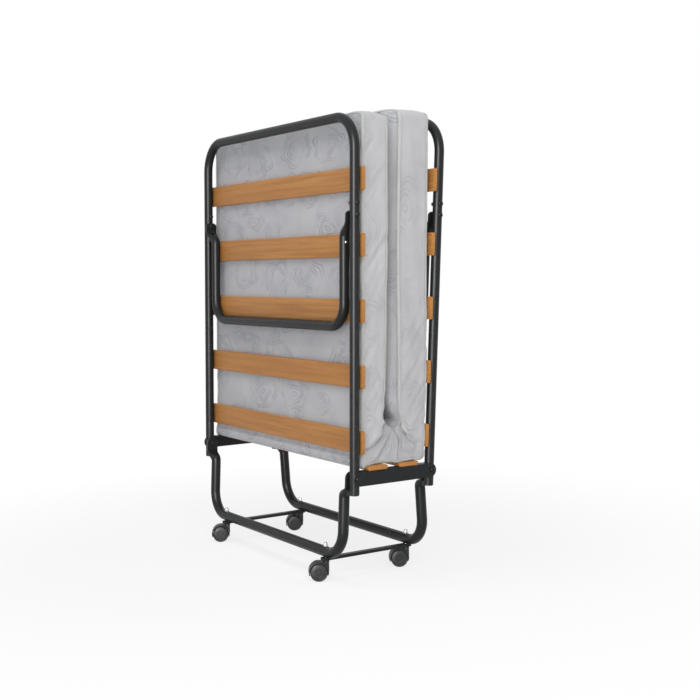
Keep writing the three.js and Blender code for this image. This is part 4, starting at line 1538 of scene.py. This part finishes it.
# Places in the fold are (y, z) from the middle between the hinges and the top of the centre slats.
folds = {
    "centre": (0.0037, 0.0867),
    "frontCrease": [
        (-0.0180, 0.1270), (-0.0213, 0.0987), (-0.0283, 0.0782), (-0.0383, 0.0632), (-0.0508, 0.0497),
        (-0.0650, 0.0400),
    ],
    "rearCrease": [
        (0.0287, 0.1137), (0.0314, 0.0817), (0.0382, 0.0647), (0.0482, 0.0547), (0.0612, 0.0477),
        (0.0792, 0.0457),
    ],
    "gathers": [ # bearing from the middle of the fold, spread and height
        (-62, 11.0, 0.0040), (-38, 8.0, 0.0064), (-19, 6.0, 0.0042), (-2, 9.5, 0.0076), (21, 6.5, 0.0044),
        (38, 9.5, 0.0064), (66, 11.0, 0.0036),
    ],
    "frontDepth": 0.0150,
    "rearDepth": 0.0080,
    "rollHeight": 0.0030, # of the cloth pushed up beside the front crease
    "wobble": 16,
    "top": 0.0917,
    "reach": 0.20,
    "bulge": 0.0065,
    "bulgeRadius": 0.040,
}


def atFold(place):
    return Vector((hinges.y + place[0], slatTop + place[1]))


def creaseDistance(point, line):
    # Distance to a crease line, positive below it, and how far along the line the nearest place is.
    best, sign, share = 1.0, 1.0, 0.0
    for i in range(len(line) - 1):
        start, end = atFold(line[i]), atFold(line[i + 1])
        span = end - start
        t = min(max((point - start).dot(span) / span.length_squared, 0.0), 1.0)
        offset = point - (start + span * t)
        if offset.length < best:
            best = offset.length
            sign = 1.0 if offset.y < 0 else -1.0
            share = (i + t) / (len(line) - 1)
    return best * sign, share


def shapeFold(point, side, border):
    # How far creases, gathers and the bulge of the fold push the border out, and how much painted shade
    # darkens the cloth there.
    flatPoint = Vector((point.y, point.z))
    front, frontShare = creaseDistance(flatPoint, folds["frontCrease"])
    rear, rearShare = creaseDistance(flatPoint, folds["rearCrease"])
    starts = smooth(slatTop + folds["top"] + 0.012 - point.z, 0.0, 0.015)
    frontGroove = groove(front - 0.0035) * (1 - 0.6 * frontShare) * starts
    rearGroove = groove(rear - 0.003) * (1 - 0.8 * rearShare) * starts
    out = 0.0
    out -= folds["frontDepth"] * frontGroove + folds["rearDepth"] * rearGroove
    # Painted shade in the grooves of the creases.
    paintedShadeShare = frontGroove + 0.6 * rearGroove
    out += folds["rollHeight"] * ridge(front + 0.010, 0.009) * (1 - frontShare * 0.5)
    away = flatPoint - atFold(folds["centre"])
    distance = away.length
    angle = math.degrees(math.atan2(away.x, -away.y))
    inFold = smooth(slatTop + folds["top"] - point.z, 0.0, 0.02)
    wobble = folds["wobble"] * noise.noise(Vector((point.y * 24, point.z * 24, side * 3.0)))
    for bearing, spread, height in folds["gathers"]:
        facing = bearing if side > 0 else -bearing * 0.9 + 4
        strength = smooth(distance, 0.008, 0.030) * (1 - 0.75 * smooth(distance, 0.045, 0.095))
        out += height * ridge(angle + wobble - facing, spread) * strength * inFold
        valley = ridge(angle + wobble - facing - spread * 1.5, spread * 0.6) * strength * inFold
        out -= 0.6 * height * valley
        # A little painted shade in each valley between the gathers.
        paintedShadeShare += 0.2 * valley
    out += folds["bulge"] * ridge(distance - 0.028, folds["bulgeRadius"]) * inFold
    rim = smooth(point.z - slatTop, 0.0, 0.010)
    return out * (border * mix(0.35, 1.0, rim)), min(paintedShadeShare, 1.0) * border * rim


def wrinkle(point, side):
    # Long folds down the border, slanting ones in patches, and fine ones.
    across = noise.noise(Vector((point.y * 26, point.z * 3.6 + point.y * 9, side * 7.0 + point.x)))
    fine = noise.noise(Vector((point.y * 60, point.z * 11, side * 5.0)))
    slant = noise.noise(Vector((point.y * 50 - point.z * 36, (point.z + point.y) * 8, side * 11.0)))
    patch = smooth(noise.noise(Vector((point.y * 6, point.z * 4.0, side * 17.0))), -0.25, 0.35)
    return 0.0030 * across + 0.0058 * slant * patch + 0.0010 * fine


def waveFace(point, local, label, facing):
    # Long waves and dimples of a face; the outer one is held down by the slats.
    outward = 1 - smooth(local.y, 0.030, 0.045)
    waves = noise.noise(Vector((point.x * 7, point.z * 9, facing * 2.0)))
    dimple = noise.noise(Vector((point.x * 22, point.z * 19, facing * 4.0)))
    free = freeOfSlats(label, local.z, 0.030, 0.055)
    push = (0.0010 * waves + 0.0006 * dimple - 0.0010) * outward * free
    return push + (0.0016 * waves + 0.0008 * dimple) * (1 - outward)


def sculpt(piece):
    # Creases and gathers of the border at the fold, with painted shade stored for them, soft folds in the
    # border and long waves on the faces.
    mesh = piece.data
    normals = [vertex.normal.copy() for vertex in mesh.vertices]
    # Painted shade of the creases, stored per point for the cloth's colour.
    paintedShade = mesh.attributes.new("paintedShade", "FLOAT", "POINT").data
    for i, (vertex, normal) in enumerate(zip(mesh.vertices, normals)):
        point = vertex.co
        side = math.copysign(1, point.x)
        border = 1 - smooth(mattress["width"] / 2 - abs(point.x), 0.001, 0.016)
        label, facing, local = halfInfo(point)
        out = 0.0
        if border > 0 and point.z < slatTop + folds["reach"]:
            out, paintedShade[i].value = shapeFold(point, side, border)
        out += border * wrinkle(point, side)
        vertex.co.x += side * out
        if border < 1 and local.z > 0.05:
            vertex.co += normal * waveFace(point, local, label, facing) * (1 - border) * offCrease(point)
    keepOffSlats(mesh)
    mesh.update()


def keepOffSlats(mesh):
    # The outer face lies against the slats, and sinks no further than their faces.
    clear = 0.0005
    slatEnds = (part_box("centre_slat_front")[0].y + 0.001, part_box("centre_slat_rear")[1].y - 0.001)
    matrices = {label: matrix for label, _, matrix in halves}
    for vertex in mesh.vertices:
        label, _, local = halfInfo(vertex.co)
        if local.z < 0.045:
            past = max(slatEnds[0] - vertex.co.y, vertex.co.y - slatEnds[1], 0.0)
            vertex.co.z = max(vertex.co.z, slatTop + clear - past)
            continue
        near = min(abs(local.z - level) for level in slatLevels[label])
        face = 0.0223 + clear - 0.0035 * smooth(near, 0.031, 0.055)
        if local.y < face:
            local.y = face
            vertex.co = matrices[label] @ local


tape = {
    "halfWidth": 0.0044,
    "halfHeight": 0.0021,
    "sides": 14,
    "proud": 0.0006,
    "sink": 0.35,
    "leaves": 0.1250,
    "welt": 0.28,
    "creaseSteps": 60,
}


def openEdge(faces):
    # The points of the edge where the faces end, in order.
    edgeUse = dict.fromkeys((face[i - 1], face[i]) for face in faces for i in [*range(1, len(face)), 0])
    following = {b: a for a, b in edgeUse if (b, a) not in edgeUse}
    cap = [next(iter(following))]
    while following[cap[-1]] != cap[0]:
        cap.append(following[cap[-1]])
    return cap


def halfPiece(whole, label, facing, seams):
    # Cuts one half out of the whole mattress, closes it with a cap at the fold, and sews on its tape.
    source = whole.data
    halfOf = source.attributes["half"].data
    chosen = [polygon for polygon in source.polygons if halfOf[polygon.index].value == facing]
    used = sorted({index for polygon in chosen for index in polygon.vertices})
    newIndex = {index: i for i, index in enumerate(used)}
    points = [source.vertices[index].co.copy() for index in used]
    faces = [tuple(newIndex[index] for index in polygon.vertices) for polygon in chosen]
    uvLayer = source.uv_layers["metres"].data
    uvs = [[uvLayer[loop].uv.copy() for loop in polygon.loop_indices] for polygon in chosen]
    cap = openEdge(faces)
    faces.append(tuple(cap))
    uvs.append([Vector((points[i].y, points[i].z)) for i in cap])
    mesh = makeMesh(f"mattress{label.title()}", points, faces, uvs)
    mesh.materials.append(ticking)
    mesh.shade_smooth()
    # Carries over the painted shade of the creases.
    paintedShade = mesh.attributes.new("paintedShade", "FLOAT", "POINT")
    paintedShade.data.foreach_set("value", [source.attributes["paintedShade"].data[index].value for index in used])
    capPairs = {tuple(sorted(pair)) for pair in zip(cap, cap[1:] + cap[:1])}
    sharp = mesh.attributes.get("sharp_edge") or mesh.attributes.new("sharp_edge", "BOOLEAN", "EDGE")
    for edge in mesh.edges:
        if tuple(sorted(edge.vertices)) in capPairs:
            sharp.data[edge.index].value = True
    piece = makeObject(f"mattress{label.title()}", mesh)
    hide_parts(f"mattress_{label}", "mattress_fold")
    bendOver(piece)
    buildTape(source, label, seams)


def buildTape(source, label, seams):
    # Along both seams, thinner where the inner one goes down into the fold, and along the creases.
    strips, uvs = [], []
    runs = []
    for kind in ("outer", "inner"):
        path = seams[f"{label}-{kind}"]
        points = [source.vertices[i].co.copy() for i in path]
        sizes = [
            mix(tape["welt"], 1.0, smooth(point.z - slatTop, tape["leaves"] - 0.006, tape["leaves"] + 0.012))
            if kind == "inner" else 1.0
            for point in points
        ]
        runs.append((points, [source.vertices[i].normal.copy() for i in path], sizes))
    for side, _ in sides:
        points, normals = onSide(source, side, folds[f"{label}Crease"])
        last = len(points) - 1
        runs.append((points, normals, [mix(1.0, 0.12, smooth(i / last, 0.35, 1.0)) for i in range(last + 1)]))
    for run in runs:
        part, uv = tapePart(*run)
        strips.append(part)
        uvs += uv
    name = f"mattress{label.title()}Tape"
    border = makePiece(name, merge(strips), binding, sharpAngle=60, uvs=uvs)
    bendOver(border)


def bendOver(piece):
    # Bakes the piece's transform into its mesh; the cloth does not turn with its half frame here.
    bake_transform(piece)


def onSide(mesh, side, line):
    # Points of a crease line where it lies on the border, with the border's directions there.
    polygons = [polygon.vertices[:] for polygon in mesh.polygons]
    tree = BVHTree.FromPolygons([vertex.co for vertex in mesh.vertices], polygons)
    curve = curveThrough([atFold(place) for place in line])
    lengths = lengthsOf(curve)
    points, normals = [], []
    for i in range(tape["creaseSteps"] + 1):
        place = pointAt(curve, lengths, lengths[-1] * i / tape["creaseSteps"])
        point, normal, _, _ = tree.ray_cast(Vector((side * 0.6, place.x, place.y)), Vector((-side, 0, 0)))
        if point:
            points.append(point)
            normals.append(normal)
    for _ in range(3):
        points[1:-1] = [(a + b * 2 + c) / 4 for a, b, c in zip(points, points[1:], points[2:])]
        normals[1:-1] = [(a + b * 2 + c).normalized() for a, b, c in zip(normals, normals[1:], normals[2:])]
    return points, normals


def tapePart(points, normals, sizes):
    # A sewn edge binding along the seam: a flattened roll that sits over the edge and sinks in where it is
    # small.
    rings, uvs, lengths = [], [], []
    travelled = 0.0
    count = tape["sides"]
    for i, (point, normal, size) in enumerate(zip(points, normals, sizes)):
        before, after = points[max(i - 1, 0)], points[min(i + 1, len(points) - 1)]
        along = (after - before).normalized()
        outward = (normal - along * normal.dot(along)).normalized()
        across = along.cross(outward)
        halfWidth, halfHeight = tape["halfWidth"] * size, tape["halfHeight"] * size
        middle = point + outward * (tape["proud"] * size - halfHeight * tape["sink"])
        rings.append([
            middle + across * halfWidth * math.cos(angle) + outward * halfHeight * math.sin(angle)
            for angle in (2 * math.pi * j / count for j in range(count))
        ])
        travelled += (point - before).length
        lengths.append(travelled)
    around = 2 * math.pi * tape["halfWidth"] * 0.8 / count
    for start, end in zip(lengths, lengths[1:]):
        for j in range(count):
            near, far = j * around, (j + 1) * around
            uvs.append([(start, near), (start, far), (end, far), (end, near)])
    uvs += [[(0.001 * j, 0.0) for j in range(count)]] * 2
    return skin(rings), uvs


buildMattress()


# Studio

camera = {
    "place": (2.7804, hinges.y - 1.6458, hinges.z + 0.5069),
    "heading": 57.386,
    "pitch": -4.015,
    "roll": -1.123,
    "lens": 61.95,
    "sensor": 36,
    "farthest": 60,
}


def buildCamera():
    data = bpy.data.cameras.new("camera")
    data.lens = camera["lens"]
    data.sensor_width = camera["sensor"]
    data.clip_end = camera["farthest"]
    piece = makeObject("camera", data)
    heading, pitch, roll = (math.radians(camera[key]) for key in ("heading", "pitch", "roll"))
    turn = Matrix.Rotation(heading, 4, "Z") @ Matrix.Rotation(math.pi / 2 + pitch, 4, "X")
    turn = turn @ Matrix.Rotation(roll, 4, "Z")
    piece.matrix_world = Matrix.Translation(camera["place"]) @ turn
    scene.camera = piece


floor = {
    "size": 14.0,
    "steps": 8,
    "below": 0.0004,
    "colour": (0.86, 0.86, 0.86),
    "nearWhite": 0.78,
    "fadeFrom": 0.5,
    "fadeTo": 1.6,
}


def buildFloor():
    # A grid, near white around the object and white further out, that keeps the shadow.
    size = floor["size"] / 2
    steps = floor["steps"]
    points, faces = [], []
    for i in range(steps + 1):
        for j in range(steps + 1):
            points.append((mix(-size, size, i / steps), mix(-size, size, j / steps), -floor["below"]))
    for i in range(steps):
        for j in range(steps):
            a = i * (steps + 1) + j
            faces.append((a, a + steps + 1, a + steps + 2, a + 1))
    material, tree, shader = newMaterial("studioFloor")
    place = placeIn(tree)
    pale = tuple(value * 1.02 for value in floor["colour"])
    colour = mixColours(tree, noiseNode(tree, place, 3.0, 3.0), floor["colour"], pale)
    feed(tree, shader, {"Base Color": colour, "Roughness": 0.9, "Specular IOR Level": 0.1})
    distance = feed(tree, nodeOf(tree, "ShaderNodeVectorMath", operation="LENGTH"), {0: place})
    fadeFrom, fadeTo, nearWhite = (floor[key] for key in ("fadeFrom", "fadeTo", "nearWhite"))
    fade = rampNode(tree, distance.outputs["Value"], fadeFrom, fadeTo, nearWhite, 1.0)
    glow = feed(tree, nodeOf(tree, "ShaderNodeEmission"), {"Color": (1, 1, 1), "Strength": 1.0})
    output = next(node for node in tree.nodes if node.type == "OUTPUT_MATERIAL")
    blendShaders(tree, product(tree, fade, seenShare(tree)), shader, glow, output)
    makePiece("studioFloor", (points, faces), material)


def seenShare(tree):
    # One for the rays that see the studio itself: camera, glossy and transmission.
    path = nodeOf(tree, "ShaderNodeLightPath")
    seen = mathNode(tree, "MAXIMUM", path.outputs["Is Camera Ray"], path.outputs["Is Glossy Ray"])
    return mathNode(tree, "MAXIMUM", seen, path.outputs["Is Transmission Ray"])


def blendShaders(tree, share, first, second, output):
    values = {0: share, 1: first.outputs[0], 2: second.outputs[0]}
    both = feed(tree, nodeOf(tree, "ShaderNodeMixShader"), values)
    feed(tree, output, {"Surface": both.outputs[0]})


def buildWorld():
    world = bpy.data.worlds.new("studio")
    scene.world = world
    world.use_nodes = True
    tree = world.node_tree
    tree.nodes.clear()
    soft = feed(tree, nodeOf(tree, "ShaderNodeBackground"), {"Color": (0.93, 0.95, 1.0), "Strength": 0.42})
    white = feed(tree, nodeOf(tree, "ShaderNodeBackground"), {"Color": (1, 1, 1), "Strength": 1.0})
    blendShaders(tree, seenShare(tree), soft, white, nodeOf(tree, "ShaderNodeOutputWorld"))


# The strip is only there for the long highlights on the tubes.
# Each light is its place, size, power and colour.
lights = {
    "key": ((3.0, -0.75, 2.7), (1.8, 1.8), 51, (1.0, 0.975, 0.94)),
    "top": ((0.1, -1.2, 3.4), (1.4, 1.4), 25, (0.94, 0.97, 1.0)),
    "fill": ((2.1, -2.1, 1.2), (1.6, 1.6), 17, (0.90, 0.94, 1.0)),
    "rim": ((0.4, 2.8, 1.9), (1.6, 1.6), 16, (1.0, 1.0, 1.0)),
    "strip": ((1.90, -2.22, 1.2), (0.9, 2.4), 235, (1.0, 1.0, 0.96)),
}


def buildLights():
    target = Vector((0, 0, 0.6))
    for name, (place, size, power, colour) in lights.items():
        data = bpy.data.lights.new(name, "AREA")
        data.shape = "RECTANGLE"
        data.size, data.size_y = size
        data.energy = power
        data.color = colour
        piece = makeObject(name, data)
        piece.location = place
        piece.rotation_euler = (target - Vector(place)).to_track_quat("-Z", "Y").to_euler()
        piece.visible_glossy = name == "strip"
        piece.visible_diffuse = name != "strip"


buildCamera()
buildFloor()
buildWorld()
buildLights()
print("studio ready")
